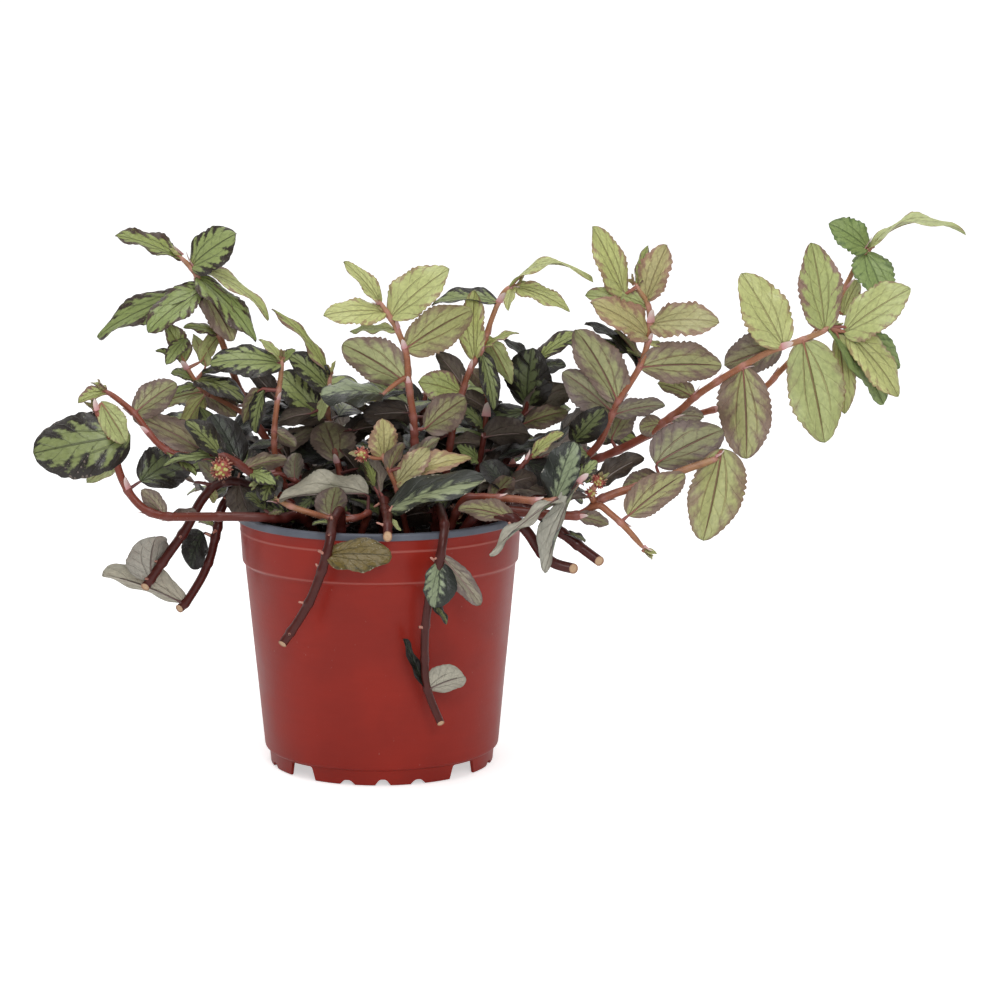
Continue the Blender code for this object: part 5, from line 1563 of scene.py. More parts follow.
chance = random.Random(PLANT_SEED)


class Skin:
    """Grids of points, in mm from the pot's axis, that are gathered into one mesh. Every
    point carries four numbers for its materials: across, along, age and chance."""

    def __init__(self):
        self.points, self.values, self.faces, self.finishes = [], [], [], []
        self.count = 0

    def add(self, grid, values, finish, closed=False, turned=False):
        """Adds a grid; a closed one joins up round its columns, a turned one faces back."""
        rows, columns = grid.shape[:2]
        index = np.arange(rows * columns).reshape(rows, columns) + self.count
        if closed:
            index = np.concatenate([index, index[:, :1]], axis=1)
        quads = np.stack([index[:-1, :-1], index[:-1, 1:], index[1:, 1:], index[1:, :-1]], axis=-1)
        quads = quads.reshape(-1, 4)
        self.faces.append(quads[:, ::-1] if turned else quads)
        self.points.append(grid.reshape(-1, 3))
        self.values.append(np.broadcast_to(values, (rows, columns, 4)).reshape(-1, 4))
        self.finishes.append(np.full(len(quads), finish))
        self.count += rows * columns

    def add_round(self, grid, across, along, age, seed, finish=0):
        """Adds the skin of a tube with these numbers, some of which may vary along it."""
        values = carried(*grid.shape[:2], across, along, age, seed)
        self.add(grid, values, finish, closed=True, turned=True)

    def build(self, name, materials):
        """The mesh as a piece that rides on the root body."""
        points = np.concatenate(self.points) * MM + np.array(POT_AXIS)
        mesh = bpy.data.meshes.new(name)
        mesh.from_pydata(points.tolist(), [], np.concatenate(self.faces).tolist())
        mesh.polygons.foreach_set("material_index", np.concatenate(self.finishes))
        values = np.concatenate(self.values)
        for column, kind in enumerate(("across", "along", "age", "chance")):
            attribute = mesh.attributes.new(kind, "FLOAT", "POINT")
            attribute.data.foreach_set("value", values[:, column].astype(np.float32))
        for material in materials:
            mesh.materials.append(material)
        mesh.shade_smooth()
        piece = in_scene(name, mesh)
        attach(piece, "root")
        return piece


def evenly(line, step):
    """A line's points taken again at this spacing, with the distance along it of each."""
    points = np.array(line, float)
    lengths = np.linalg.norm(np.diff(points, axis=0), axis=1)
    keep = np.concatenate([[True], lengths > 1e-6])
    points = points[keep]
    run = np.concatenate([[0], np.cumsum(lengths[lengths > 1e-6])])
    count = max(3, round(run[-1] / step) + 1)
    places = np.linspace(0, run[-1], count)
    return np.stack([np.interp(places, run, points[:, axis]) for axis in range(3)], 1), places


def unit(direction):
    """The same direction with a length of 1."""
    return direction / np.linalg.norm(direction)


def tube_grid(points, radii, sides):
    """The skin of a tube along these points, as rows of a grid that closes on itself."""
    ahead = np.gradient(points, axis=0)
    ahead /= np.linalg.norm(ahead, axis=1)[:, None]
    side = np.cross(ahead[0], [0, 0, 1] if abs(ahead[0][2]) < 0.9 else [1, 0, 0])
    grid = np.zeros((len(points), sides, 3))
    turns = np.arange(sides) * 2 * math.pi / sides
    for row, (point, forward, radius) in enumerate(zip(points, ahead, radii)):
        side = unit(side - forward * (side @ forward))
        up = np.cross(forward, side)
        grid[row] = point + radius * (np.outer(np.cos(turns), side) + np.outer(np.sin(turns), up))
    return grid


def carried(rows, columns, across, along, age, seed):
    """The four numbers of each point of a grid. Across may vary by column, along by row,
    and a column of numbers lets across or age vary by row too."""
    values = np.zeros((rows, columns, 4))
    values[..., 0] = across
    values[..., 1] = np.broadcast_to(along, (rows,))[:, None]
    values[..., 2] = age
    values[..., 3] = seed
    return values


def slant_end(grid, points):
    """Cuts the end of a stem aslant, so that the cut turns up towards the viewer."""
    ahead = unit(points[-1] - points[-2])
    to_eye = unit(np.array(EYE) - points[-1])
    toward = to_eye - ahead * (to_eye @ ahead)
    for row, share in zip((-1, -2, -3), SLANT_SHARES):
        off = grid[row] - points[row]
        grid[row] -= np.outer(off @ toward, ahead) * CUT_SLANT * share


def close_end(skin, points, grid, tip_age, cut_back, chance):
    """Closes the end of a stem with the pale face of a cut, or with a growing tip."""
    end = points[-1]
    if cut_back:
        cap = np.stack([end + (grid[-1] - end) * size for size in CUT_RIMS])
        cap[1:] -= (points[-1] - points[-2]) * CUT_HOLLOW
        skin.add_round(cap, 0, [*CUT_RIMS[:-1], 0.0], 0.5, chance.random(), 1)
    else:
        tip = np.stack([end + (grid[-1] - end) * size for size in TIP_RIMS])
        tip[1:] += (points[-1] - points[-2]) * np.array(TIP_STEPS)[:, None, None]
        skin.add_round(tip, 0, 0, tip_age, 0.5)


def add_stem(skin, points, run, radii, joints, ages, cut_back, chance):
    """Draws one stem or branch, with a swelling at each joint and its end as it grew or
    was cut. Its age runs from ages[0] at the start to ages[1] at the end."""
    share = run / run[-1]
    thick = radii[0] + (radii[1] - radii[0]) * share
    for joint in joints:
        away = run - joint
        thick = thick * (1 + JOINT_SWELL * np.exp(-(away / JOINT_WIDTH) ** 2))
        thick = thick * (1 - JOINT_NECK * np.exp(-((away - 1.3 * JOINT_WIDTH) / 0.5) ** 2))
    if not cut_back:
        from_tip = np.sqrt(np.clip((run[-1] - run) / BUD_TAPER, 0, 1))
        thick = thick * np.clip(0.3 + 0.7 * from_tip, 0, 1)
    grid = tube_grid(points, thick, STEM_SIDES)
    if cut_back:
        slant_end(grid, points)
    near_joint = np.zeros(len(run))
    for joint in joints:
        near_joint = np.maximum(near_joint, np.exp(-((run - joint) / 1.5) ** 2))
    age = (ages[0] + (ages[1] - ages[0]) * share)[:, None]
    skin.add_round(grid, near_joint[:, None], run, age, chance.random())
    close_end(skin, points, grid, ages[1], cut_back, chance)


def fine_lines(shoot):
    """The smooth centre lines of a shoot's stem and branches, the stem from its very foot."""
    main, *branches = routes_of(shoot)
    foot = over_root(shoot, ROOT_GAP - HOLE_DEPTH)
    return [curve_through(route) for route in ([foot] + main, *branches)]


def nearest_on(line, place):
    """The point of a line that is nearest to a place, and how far along the line it is."""
    points, run = evenly(line, 0.5)
    index = int(np.argmin(np.linalg.norm(points - np.array(place), axis=1)))
    return Vector(points[index]), run[index]


def add_stipule(skin, place, ahead, out, size, seed):
    """A small curved papery scale that stands at a joint."""
    rows, columns = 7, 5
    along = np.linspace(0, 1, rows)
    across = np.linspace(-1, 1, columns)
    side = unit(np.cross(ahead, out))
    width = size * 0.27 * np.sqrt(np.clip(1 - along ** 1.6, 0.0, 1))
    middle = (np.array(place) + np.outer(along, ahead) * size * 0.9
              + np.outer(0.25 + 0.5 * along ** 2, out) * size * 0.42)
    cup = 0.35 * (across ** 2)[None, :, None] * width[:, None, None] * np.array(out)
    grid = middle[:, None, :] + (width[:, None] * across)[..., None] * side - cup
    skin.add(grid, carried(rows, columns, across, along, 0.5, seed), 2)


def add_stub(skin, place, ahead, radius, chance):
    """The short pink stub that a fallen leaf leaves at a joint."""
    ahead = unit(ahead)
    out = np.cross(ahead, [chance.uniform(-1, 1), chance.uniform(-1, 0), chance.uniform(-1, 1)])
    out = unit(out) + ahead * chance.uniform(-0.4, 0.6)
    reach = radius * 0.8 + np.linspace(0, chance.uniform(*STUB_LENGTHS), len(STUB_RADII))
    widths = np.array(STUB_RADII) * chance.uniform(0.8, 1.15)
    grid = tube_grid(place + np.outer(reach, out), widths, STUB_SIDES)
    skin.add_round(grid, 1, 0, 0.1, chance.random())


def add_hairs(skin, points, run, radii, chance):
    """Short fine hairs that stand off the young half of a stem."""
    for _ in range(int(run[-1] * HAIRS_PER_MM)):
        index = chance.randrange(len(points) // 2, len(points) - 1)
        ahead = unit(points[index + 1] - points[index])
        out = unit(np.cross(ahead, [chance.gauss(0, 1) for _ in range(3)]))
        radius = radii[0] + (radii[1] - radii[0]) * index / len(points)
        root = points[index] + out * radius * 0.9
        length = chance.uniform(*HAIR_LENGTHS)
        grid = np.stack([
            np.stack([root - ahead * HAIR_WIDTH, root + ahead * HAIR_WIDTH]),
            np.stack([root + out * length, root + out * length + ahead * HAIR_WIDTH / 2]),
        ])
        skin.add(grid, carried(2, 2, 0, (0.4, 1.0), 0.5, chance.random()), 2)


def carried_value(tree, name):
    """The number that each point of a mesh carries under this name."""
    return add_node(tree, "ShaderNodeAttribute", attribute_name=name).outputs["Fac"]


def age_ramp(tree, age, steps):
    """A colour, or a number, for each of some even steps of age, blended between."""
    ramp = add_node(tree, "ShaderNodeValToRGB", {"Fac": age})
    elements = ramp.color_ramp.elements
    while len(elements) < len(steps):
        elements.new(0.5)
    for index, (element, step) in enumerate(zip(elements, steps)):
        element.position = index / (len(steps) - 1)
        element.color = colour(step) if isinstance(step, str) else (step, step, step, 1)
    return ramp.outputs["Color"]


stem_skin, tree, shader = new_material("stem_skin")
age = carried_value(tree, "age")
joint = carried_value(tree, "across")
place = add_node(tree, "ShaderNodeTexCoord").outputs["Object"]
skin_colour = age_ramp(tree, age, ("b08c66", "a66c4e", "85402f", "4d1c16", "2e110f"))
mottle = noise(tree, place, 260, 3, 0.6)
skin_colour = mixed(tree, remap(tree, mottle, 0.4, 0.75, 0, 0.35), skin_colour, colour("5e2c26"))
pink = mixed(tree, remap(tree, age, 0.1, 0.8), colour("d09490"), colour("5a2826"))
joint = times(tree, joint, remap(tree, age, 0.2, 0.7, 0.5, 0.25))
skin_colour = mixed(tree, joint, skin_colour, pink)
paint(tree, shader, skin_colour, 0.34, bump(tree, noise(tree, place, 900, 2), 0.0001))
shader.inputs["Specular IOR Level"].default_value = 0.35
shader.inputs["Subsurface Weight"].default_value = 0.05
shader.inputs["Subsurface Radius"].default_value = (0.002, 0.0008, 0.0005)

cut_face, tree, shader = new_material("cut_stem_face")
rim = carried_value(tree, "along")
place = add_node(tree, "ShaderNodeTexCoord").outputs["Object"]
pith = mixed(tree, noise(tree, place, 1500, 3), colour("b98f6c"), colour("dcc09c"))
pith = mixed(tree, remap(tree, rim, 0.6, 0.95, 0, 0.7), pith, colour("8d5a44"))
paint(tree, shader, pith, 0.75)

stipule_skin, tree, shader = new_material("stipule_scale")
along = carried_value(tree, "along")
papery = mixed(tree, along, colour("c98a8c"), colour("e9dcd6"))
paint(tree, shader, papery, 0.55)

STEM_AGES = {
    # at the foot and at the tip
    "young": (0.9, 0.05), "old": (0.85, 0.4), "trailing": (0.9, 0.75), "crown": (0.95, 0.6),
}
DARKER_STEMS = {"shoot_far_left": (0.85, 0.42), "shoot_left": (0.85, 0.4)}


def stem_ages(name):
    """How old a shoot's stem looks at its foot and at its tip, by its youngest leaf."""
    if name in DARKER_STEMS:
        return DARKER_STEMS[name]
    if name in CUT_BACK:
        return STEM_AGES["trailing"]
    if name.startswith(("shoot_crown", "shoot_centre_dark")):
        return STEM_AGES["crown"]
    youngest = min((tone for _, tone in blades[name]), default=OLD)
    return STEM_AGES["old" if youngest >= MID else "young"]


def seats_on(centre_lines, leaves):
    """Where each leaf sits: the point, which line it is on and how far along that line."""
    seats = []
    for blade, _ in leaves:
        spots = [nearest_on(line, blade.stem_point) for line in centre_lines]
        which = min(range(len(spots)), key=lambda i: (spots[i][0] - blade.stem_point).length)
        seats.append((spots[which][0], which, spots[which][1]))
    return seats


def joints_along(distances, length):
    """A stem's joints: one at each leaf, and bare ones wherever there is room for them."""
    joints = sorted(distances)
    bare = [joint for joint in np.arange(FIRST_JOINT, length - LAST_JOINT, JOINT_SPACING)
            if all(abs(joint - other) > BARE_GAP for other in joints)]
    return [joint for index, joint in enumerate(joints)
            if index == 0 or joint - joints[index - 1] > MERGED_GAP] + bare


def dress_joint(skin, points, run, joint, radii, tip_age, cut_back, chance):
    """Gives a joint the stub of a fallen leaf on a stem that was cut, or else a scale."""
    share = joint / run[-1]
    index = min(len(points) - 2, int(np.searchsorted(run, joint)))
    ahead = points[index + 1] - points[index]
    if cut_back and share > STUBS_FROM:
        add_stub(skin, points[index], ahead, radii[1], chance)
        return
    if share < SCALES_FROM or tip_age > 0.5 and chance.random() < OLD_SCALES_LOST:
        return
    ahead = unit(ahead)
    turn = chance.uniform(0, 2 * math.pi)
    side = unit(np.cross(ahead, [math.cos(turn), math.sin(turn), 0.3]))
    radius = radii[0] + (radii[1] - radii[0]) * share
    size = chance.uniform(*SCALE_SIZES) * (1.25 if share > 0.85 else 1 if tip_age < 0.5 else 0.6)
    foot = points[index] + side * radius * 0.8
    add_stipule(skin, foot, ahead, side, size, chance.random())


attached = {}
for shoot in shoots:
    name = shoot["name"]
    cut_back = name in CUT_BACK
    ages = stem_ages(name)
    skin = Skin()
    centre_lines = fine_lines(shoot)
    attached[name] = seats_on(centre_lines, blades[name])
    for which, line in enumerate(centre_lines):
        points, run = evenly(line, STEM_STEP)
        distances = [distance for _, number, distance in attached[name] if number == which]
        joints = joints_along(distances, run[-1])
        radii, span = shoot["radii"], ages
        if which > 0:
            radii = tuple(radii[1] * share for share in BRANCH_RADII)
            span = tuple(ages[1] + older for older in BRANCH_AGES)
        add_stem(skin, points, run, radii, joints, span, cut_back, chance)
        if span[1] < YOUNG_STEM and not cut_back:
            add_hairs(skin, points, run, radii, chance)
        for joint in joints:
            dress_joint(skin, points, run, joint, radii, ages[1], cut_back, chance)
    stem = skin.build(name + "_stem", (stem_skin, cut_face, stipule_skin))
    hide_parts(name)

# Leaves
# Thin fleshy blades with rounded teeth, almost without a stalk. The upper face carries a
# ragged pale green mark between dark or bronze margins, and the underside is a dull grey
# pink with raised veins. Each blade is two sheets that meet at the margin, over a rib.
LOOKS = {
    # age on the colour ramps, teeth a side and their depth, outline powers, quilting, and
    # which pair of face materials
    FRESH: (0.0, 13, 0.06, 0.86, 0.58, 1.1, 0),
    YOUNG: (0.25, 15, 0.05, 0.88, 0.55, 1.2, 0),
    MID: (0.5, 12, 0.06, 0.88, 0.54, 1.4, 0),
    OLD: (0.75, 8, 0.035, 0.94, 0.47, 1.4, 0),
    # DARK reaches the ramps' last stops, near-black partly as painted shade deep in the crown
    DARK: (0.95, 8, 0.03, 0.95, 0.46, 1.4, 0),
    BLUSHED: (0.0, 10, 0.1, 0.88, 0.5, 2.0, 1),
    GREEN: (1 / 3, 9, 0.085, 0.88, 0.54, 1.6, 1),
    OLIVE: (2 / 3, 8, 0.03, 0.95, 0.45, 2.4, 1),
    # A dark leaf whose grey look is a painted sheen
    PAINTED_SHEEN: (1.0, 7, 0.02, 0.95, 0.45, 0.9, 1),
}
LEAF_THICKNESS = 0.36
RIB_RADIUS = 0.4
RIB_SIDES = 6
SMALLEST_HALF = 0.12
ROWS_PER_TOOTH = 3.8
FEWEST_ROWS = 30
ROWS_PER_MM = 1.8
VEIN_SLANT = 0.34
LATERAL_REACH = 0.54
HALF_LEANS = (0.04, 0.1)  # how much wider one half is
TOOTH_SWELLS = (1.2, 2.8)  # along a margin, where the teeth are deeper
MARGIN_CURLS = (-0.05, 0.28)
MARGIN_WAVES = (1.6, 2.6)  # along each margin
WAVE_DEPTHS = (0.02, 0.05)  # of the leaf's length, like the next two
QUILT_DEPTH = 0.013
TIP_DROOPS = (0.0, 0.08)
RIB_GROOVE = 0.3
LATERAL_GROOVE = 0.16
LARGEST_TWIST = 13  # degrees from base to tip
AGE_SPREAD = 0.12
RIB_END = 0.86  # of the leaf's length
STALK_RADII = (0.95, 0.7)
RIB_FOOT_RADIUS = 0.8


def smooth_step(values, low, high):
    """From 0 below the low value to 1 above the high one, smoothly."""
    t = np.clip((values - low) / (high - low), 0, 1)
    return t * t * (3 - 2 * t)


def leaf_halves(blade, look, teeth, along, across, chance):
    """The half width at each point of a leaf's grid; one half is the wider, and the teeth
    shape only its outer part, so that the veins run smooth."""
    lean = chance.choice((-1, 1)) * chance.uniform(*HALF_LEANS)
    tooth_depth, middle, fullness = look[2:5]
    half = np.full((len(along), len(across)), SMALLEST_HALF)
    for side in (-1, 1):
        width = blade.width / 2 * (1 + side * lean)
        outline = np.sin(np.pi * along ** (middle - side * lean)) ** fullness
        uneven = 0.12 * math.sin(4 * chance.random()) * np.sin(2 * np.pi * along)
        part = (along * teeth + chance.random() + uneven) % 1
        tooth = np.sin(np.pi * part ** 1.5) ** 0.8
        swells = chance.uniform(*TOOTH_SWELLS) * along + chance.random()
        swell = 1 + 0.5 * np.sin(2 * np.pi * swells)
        depth = tooth_depth * smooth_step(along, 0.06, 0.25) * swell
        toothed = width * outline * (1 + depth * (1.5 * tooth - 1))
        chosen = across * side > 0
        outer = np.abs(across[chosen])[None, :] ** 5
        edge = (width * outline)[:, None] * (1 - outer) + toothed[:, None] * outer
        half[:, chosen] = np.maximum(edge, SMALLEST_HALF)
    return half


def leaf_relief(blade, length, half, along, across, teeth, quilting, chance):
    """How far each point of a leaf's grid lies above its flat frame: the fold, the curl and
    waves of the margins, the quilting between side veins, the grooves and the tip's droop."""
    reach = np.abs(across)[None, :]
    lateral = across[None, :] * half
    off = np.abs(lateral)
    lift = math.sin(blade.fold) * (np.sqrt(off ** 2 + 0.5) - math.sqrt(0.5))
    lift -= chance.uniform(*MARGIN_CURLS) * half * reach ** 3
    for side in (-1, 1):
        wave = np.sin(2 * np.pi * (chance.uniform(*MARGIN_WAVES) * along + chance.random()))
        strength = length * chance.uniform(*WAVE_DEPTHS)
        on_side = np.where(across * side > 0, 1, 0)[None, :]
        lift += on_side * strength * wave[:, None] * reach ** 2.2
    slant = along[:, None] - VEIN_SLANT * reach
    quilt = np.abs(np.sin(np.pi * teeth * 0.8 * slant)) ** 0.7
    lift += QUILT_DEPTH * length * (quilt - 0.5) * 4 * reach * (1 - reach) * quilting
    lift -= RIB_GROOVE * np.exp(-(lateral / 0.5) ** 2)
    lateral_groove = np.exp(-((reach - LATERAL_REACH * (along[:, None]) ** 0.5) / 0.07) ** 2)
    lift -= LATERAL_GROOVE * lateral_groove * (1 - along[:, None] ** 2)
    lift -= chance.uniform(*TIP_DROOPS) * length * along[:, None] ** 4
    return lift


def add_rib(skin, blade, spot, base, length, middle, along, age):
    """Draws the raised rib under a leaf, which runs back into the stem as the leaf's stalk."""
    keep = np.flatnonzero(along < RIB_END)[::2]
    rib = middle[keep] - np.array(blade.normal) * 0.08
    radii = RIB_RADIUS * (1 - 0.72 * along[keep]) * min(1, 0.55 + length / 50)
    places = along[keep]
    if blade.has_petiole:
        stalk = np.array([spot.lerp(base, share) for share in np.linspace(0, 1, 6)[:-1]])
        rib = np.concatenate([stalk, rib[1:]])
        radii = np.concatenate([np.linspace(*STALK_RADII, len(stalk)), radii[1:]])
        places = np.concatenate([np.zeros(len(stalk)), places[1:]])
    else:
        radii[:2] = RIB_FOOT_RADIUS
    skin.add_round(tube_grid(rib, radii, RIB_SIDES), 0, places, age, 0.5)


def add_leaf(skin, blade, spot, tone, chance):
    """Draws one leaf on the frame of its solid blade, its stalk starting inside the stem."""
    base = blade.base if blade.has_petiole else spot
    length = (blade.tip - base).length
    look = LOOKS[tone]
    first_age, teeth, _, _, _, quilting, pair = look
    teeth = teeth if length > 14 else 6 if length > 8 else 4
    rows = int(min(max(ROWS_PER_TOOTH * teeth, FEWEST_ROWS), max(14, length * ROWS_PER_MM)))
    columns = 15 if length > 17 else 11 if length > 9 else 7
    even = np.linspace(0, 1, rows)
    along = 0.65 * even + 0.35 * (0.5 - 0.5 * np.cos(np.pi * even))
    across = np.linspace(-1, 1, columns)
    across = np.sign(across) * np.abs(across) ** 0.85
    half = leaf_halves(blade, look, teeth, along, across, chance)
    lift = leaf_relief(blade, length, half, along, across, teeth, quilting, chance)
    lateral = across[None, :] * half
    twist = math.radians(chance.uniform(-LARGEST_TWIST, LARGEST_TWIST)) * along[:, None]
    sideways = lateral * math.cos(blade.fold) * np.cos(twist)
    lift = lift + lateral * np.sin(twist)
    middle = (np.array(base)[None, :] + np.outer(along, np.array(blade.tip - base))
              + np.outer(blade.arch * length * 4 * along * (1 - along), np.array(blade.normal)))
    upper = (middle[:, None, :] + sideways[..., None] * np.array(blade.across)
             + lift[..., None] * np.array(blade.normal))
    thickness = LEAF_THICKNESS * (1 - np.abs(across)[None, :] ** 4) * np.ones((rows, 1))
    under = upper - thickness[..., None] * np.array(blade.normal)
    spread = AGE_SPREAD if pair == 0 else AGE_SPREAD * 0.3
    age = min(1, max(0, first_age + chance.uniform(-spread, spread)))
    values = carried(rows, columns, across, along, age, chance.random())
    skin.add(upper, values, 1 + 2 * pair)
    skin.add(under, values, 2 + 2 * pair, turned=True)
    add_rib(skin, blade, spot, base, length, under[:, columns // 2], along, age)


# What every leaf face is drawn from: the pale mark along its middle, whose ragged edge
# steps out between the side veins, the veins themselves, and its cloudiness
leaf_marks = bpy.data.node_groups.new("leaf_marks", "ShaderNodeTree")
for label, way in (
    ("Reach", "INPUT"), ("Shift", "INPUT"), ("Raggedness", "INPUT"), ("Softness", "INPUT"),
    ("Mark", "OUTPUT"), ("Midrib", "OUTPUT"),
    ("Laterals", "OUTPUT"), ("Side Veins", "OUTPUT"), ("Margin", "OUTPUT"),
    ("Relief", "OUTPUT"), ("Clouds", "OUTPUT"), ("Flecks", "OUTPUT"),
):
    leaf_marks.interface.new_socket(label, in_out=way, socket_type="NodeSocketFloat")
tree = leaf_marks
entry = add_node(tree, "NodeGroupInput")
rag = entry.outputs["Raggedness"]
side = carried_value(tree, "across")
along = carried_value(tree, "along")
seed = carried_value(tree, "chance")
reach = maths(tree, "ABSOLUTE", side)
spot = add_node(tree, "ShaderNodeCombineXYZ", {
    "X": side, "Y": times(tree, along, 2.2), "Z": times(tree, seed, 37.0),
}).outputs[0]
broad = maths(tree, "SUBTRACT", noise(tree, spot, 2.2, 2), 0.5)
fine = maths(tree, "SUBTRACT", noise(tree, spot, 8.0, 3, 0.6), 0.5)
slant = maths(tree, "MULTIPLY_ADD", reach, -VEIN_SLANT, along)
slant = maths(tree, "MULTIPLY_ADD", broad, 0.09, slant)
offset = maths(tree, "MULTIPLY_ADD", maths(tree, "SIGN", side), 0.25, times(tree, slant, 5.5))
between = times(tree, maths(tree, "PINGPONG", offset, 0.5), 2.0)
varied = maths(tree, "SUBTRACT", seed, 0.5)
mark_reach = maths(tree, "MULTIPLY_ADD", varied, 0.16, entry.outputs["Reach"])
step_out = times(tree, maths(tree, "SUBTRACT", between, 0.5), times(tree, rag, 0.38))
edge = maths(tree, "ADD", mark_reach, step_out)
edge = maths(tree, "MULTIPLY_ADD", broad, maths(tree, "MULTIPLY_ADD", rag, 0.75, 0.15), edge)
edge = maths(tree, "MULTIPLY_ADD", fine, maths(tree, "MULTIPLY_ADD", rag, 0.5, 0.1), edge)
from_middle = maths(tree, "ABSOLUTE", maths(tree, "SUBTRACT", side, entry.outputs["Shift"]))
inside_edge = maths(tree, "SUBTRACT", edge, from_middle)
spread = maths(tree, "DIVIDE", inside_edge, entry.outputs["Softness"])
mark = maths(tree, "MULTIPLY_ADD", spread, 0.5, 0.5, clamp=True)
midrib = remap(tree, reach, 0.05, 0.012)
side_veins = remap(tree, between, 0.13, 0.02)
lateral = times(tree, maths(tree, "POWER", along, 0.5), LATERAL_REACH)
lateral = maths(tree, "MULTIPLY_ADD", broad, 0.05, lateral)
lateral_away = maths(tree, "ABSOLUTE", maths(tree, "SUBTRACT", reach, lateral))
laterals = times(tree, remap(tree, lateral_away, 0.04, 0.01), remap(tree, along, 0.9, 0.4))
margin = remap(tree, reach, 0.92, 0.99)
veins = maths(tree, "MAXIMUM", times(tree, side_veins, 0.32), laterals)
veins = maths(tree, "MAXIMUM", midrib, veins)
relief = maths(tree, "SUBTRACT", times(tree, fine, 0.7), veins)
flecks = times(tree, remap(tree, noise(tree, spot, 17.0, 2), 0.60, 0.68),
               remap(tree, inside_edge, -0.45, -0.02))
add_node(tree, "NodeGroupOutput", {
    "Mark": mark, "Midrib": midrib, "Laterals": laterals, "Side Veins": side_veins,
    "Margin": margin, "Relief": relief, "Clouds": fine, "Flecks": flecks,
})


def leaf_material(name, tones, reaches, edge, veins, flecks, depth, roughness, shift=0.0):
    """A leaf face. The colours along its middle, outside its mark, at its margin and on its
    veins change with its age, and so does how far its mark reaches; edge says how ragged and
    how soft that mark's edge is."""
    material, tree, shader = new_material(name)
    age = carried_value(tree, "age")
    inputs = {"Reach": age_ramp(tree, age, reaches), "Raggedness": edge[0], "Softness": edge[1]}
    if shift:
        shifted = age_ramp(tree, age, (0.0, 0.0, 0.0, abs(shift)))
        inputs["Shift"] = times(tree, shifted, math.copysign(1, shift))
    marks = add_node(tree, "ShaderNodeGroup", inputs, node_tree=leaf_marks)
    middle, outer, rim, vein = [age_ramp(tree, age, codes) for codes in tones]
    flecked = times(tree, marks.outputs["Flecks"], flecks)
    mark = maths(tree, "MAXIMUM", marks.outputs["Mark"], flecked)
    face = mixed(tree, mark, outer, middle)
    for kind, strength in zip(("Side Veins", "Laterals", "Midrib"), veins):
        face = mixed(tree, times(tree, marks.outputs[kind], strength), face, vein)
    face = mixed(tree, times(tree, marks.outputs["Margin"], 0.75), face, rim)
    seed = carried_value(tree, "chance")
    cast = mixed(tree, seed, (1.06, 1.0, 0.88, 1), (0.96, 0.97, 1.0, 1))
    face = by_vector(tree, face, cast)
    shade = remap(tree, marks.outputs["Clouds"], -0.3, 0.3, 0.76, 1.2, smooth=False)
    shaded = add_node(tree, "ShaderNodeVectorMath", {0: face, 3: shade}, operation="SCALE")
    rough = maths(tree, "MULTIPLY_ADD", marks.outputs["Clouds"], 0.25, roughness)
    relief = bump(tree, marks.outputs["Relief"], depth)
    paint(tree, shader, shaded.outputs[0], rough, relief)
    return material


leaf_faces = [
    leaf_material(
        "leaf_upper",
        # Each ramp's last stop, for DARK leaves, is near-black: partly old leaves' colour, partly
        # painted shade
        (
            ("c2c98a", "adb775", "909f5e", "98a568", "2c3224"),
            ("ab9a74", "93766a", "4a382f", "2c2520", "17120f"),
            ("94785c", "825f52", "42332d", "2d2b26", "181513"),
            ("9a8a60", "8f7850", "62603f", "3a3e2f", "171513"),
        ),
        reaches=(0.95, 0.76, 0.66, 0.6, 0.26), edge=(1.0, 0.1), veins=(0.24, 0.35, 0.6),
        flecks=0.6, depth=0.00045, roughness=0.32,
    ),
    leaf_material(
        "leaf_under",
        # Each ramp's last stop, for DARK leaves, is near-black: partly old leaves' colour, partly
        # painted shade
        (
            ("b2ba7c", "aeb27e", "98966f", "9c9184", "43382f"),
            ("a39a74", "8c776a", "7d6c65", "857870", "2f2520"),
            ("94785c", "7c5f54", "5e4e48", "5c534b", "2a2522"),
            ("9c7a55", "946152", "8f6658", "96796c", "5f4f48"),
        ),
        reaches=(0.88, 0.6, 0.46, 0.48, 0.5), edge=(0.8, 0.2), veins=(0.08, 0.42, 0.65),
        flecks=0.0, depth=-0.00045, roughness=0.44,
    ),
    leaf_material(
        "odd_leaf_upper",
        # The last stop of each ramp greys a dark leaf: a painted sheen
        (
            ("b9b380", "8ba263", "6b5426", "8f9b7a"),
            ("a07f6c", "667f4b", "4a3a1c", "262a24"),
            ("93675c", "5c6c42", "6b5a40", "2c2f2b"),
            ("b09a70", "5f7444", "40361f", "50584a"),
        ),
        reaches=(0.66, 0.86, 0.85, 0.4), edge=(0.9, 0.15), veins=(0.3, 0.35, 0.6),
        flecks=0.4, depth=0.0004, roughness=0.34, shift=-0.35,
    ),
    leaf_material(
        "odd_leaf_under",
        # The last stop of each ramp is a pale grey: a painted sheen on a dark leaf
        (
            ("b8a882", "93a070", "a39a84", "b5b3a6"),
            ("a88a78", "8a9468", "948a78", "a3a196"),
            ("96705f", "6f7a50", "8a8270", "8b897e"),
            ("9c7462", "7a7048", "857a68", "999488"),
        ),
        reaches=(0.7, 0.9, 0.85, 0.6), edge=(0.6, 0.34), veins=(0.12, 0.45, 0.6),
        flecks=0.0, depth=-0.0004, roughness=0.48,
    ),
]
leaf_rib, tree, shader = new_material("leaf_rib")
age = carried_value(tree, "age")
along = carried_value(tree, "along")
stalk_tone = age_ramp(tree, age, ("a56e58", "9a5c50", "8c4c46", "7d4642", "5f3634"))
rib_tone = age_ramp(tree, age, ("8c7852", "81634f", "86665a", "96807a", "7a6e68"))
rib_colour = mixed(tree, remap(tree, along, 0.0, 0.3), stalk_tone, rib_tone)
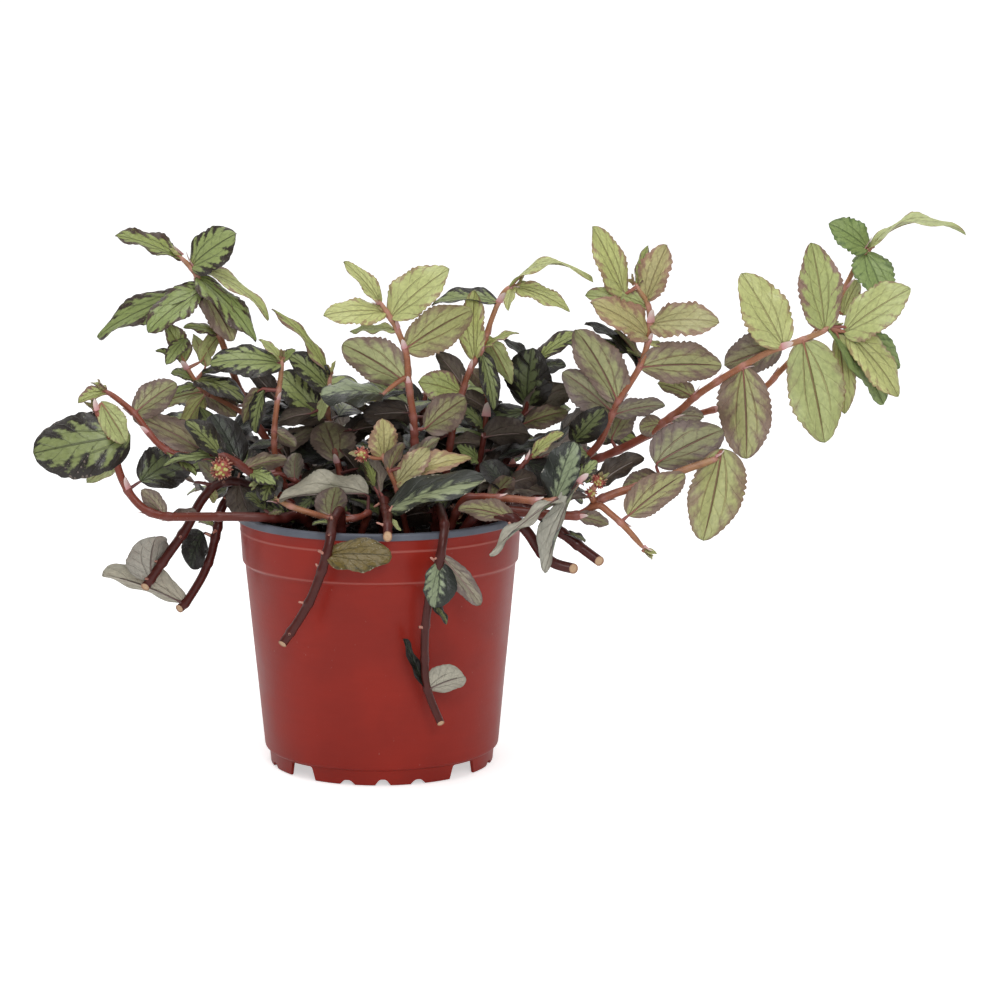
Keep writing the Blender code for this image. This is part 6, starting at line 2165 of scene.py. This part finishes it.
paint(tree, shader, rib_colour, 0.45)

for shoot in shoots:
    name = shoot["name"]
    if not blades[name]:
        continue
    skin = Skin()
    for (blade, tone), (spot, _, _) in zip(blades[name], attached[name]):
        add_leaf(skin, blade, spot, tone, chance)
    leaves = skin.build(name + "_leaves", [leaf_rib] + leaf_faces)
    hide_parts(name)

# Flower clusters
# Tight round heads of tiny florets at the joints: blunt pink-red buds on short stalks, with
# yellow-green ones that have just opened. Each floret is a small cup on the head's core.
FLORETS = 90  # on a head of this radius
FULL_HEAD = 4.6
CORE_SHARE = 0.8
CORE_RINGS = 9
CORE_SIDES = 12
CORE_AGE = 0.6
FLORET_SIZE = 0.95
FLORET_WIDTHS = (0.25, 0.6, 0.85, 0.8, 0.5, 0.12)
FLORET_SIDES = 6
GOLDEN_TURN = math.pi * (3 - math.sqrt(5))
FACING_VIEWER = 0.75


def add_floret(skin, place, out, size, tone, seed):
    """A small floret, swollen in the middle and narrowing to a small open mouth, which faces
    outwards.
    """
    along = np.linspace(0, 1, len(FLORET_WIDTHS))
    stretch = 1.9 if tone > 0.4 else 1.2
    widths = size / stretch * np.array(FLORET_WIDTHS)
    centres = np.array(place) + np.outer(along - 0.35, out) * size * stretch
    skin.add_round(tube_grid(centres, widths, FLORET_SIDES), 0, along, tone, seed)


floret_skin, tree, shader = new_material("floret")
age = carried_value(tree, "age")
along = carried_value(tree, "along")
bud = age_ramp(tree, age, ("aab04a", "c2b060", "b86a5a", "9c4840", "6e2826"))
bud = mixed(tree, remap(tree, along, 0.5, 1.0, 0, 0.5), bud, colour("e3c9a8"))
paint(tree, shader, bud, 0.6)
for shoot in shoots:
    name = shoot["name"]
    heads = shoot.get("blooms", [])
    if not heads:
        continue
    skin = Skin()
    for spot, radius in heads:
        centre = np.array(seen(*spot))
        levels = np.linspace(-1, 1, CORE_RINGS)
        poles = levels[:, None] * np.array([0, 0, radius * CORE_SHARE]) + centre
        girth = radius * CORE_SHARE * np.sqrt(np.clip(1 - levels ** 2, 0.001, 1))
        skin.add_round(tube_grid(poles, girth, CORE_SIDES), 0, 0, CORE_AGE, 0.5)
        florets = round(FLORETS * (radius / FULL_HEAD) ** 2)
        for floret in range(florets):
            share = (floret + 0.5) / florets
            up = 1 - 2 * share
            turn = floret * GOLDEN_TURN
            flat = math.sqrt(1 - up * up)
            out = np.array([flat * math.cos(turn), flat * math.sin(turn), up])
            out = unit(out + np.array([chance.uniform(-0.2, 0.2) for _ in range(3)]))
            opened = -out[1] > FACING_VIEWER
            tone = chance.uniform(0.0, 0.25) if opened else chance.uniform(0.55, 1.0)
            place = centre + out * radius * chance.uniform(0.72, 0.92)
            size = FLORET_SIZE * chance.uniform(0.8, 1.3)
            add_floret(skin, place, out, size, tone, chance.random())
    blooms = skin.build(name + "_blooms", (floret_skin,))
    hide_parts(name)
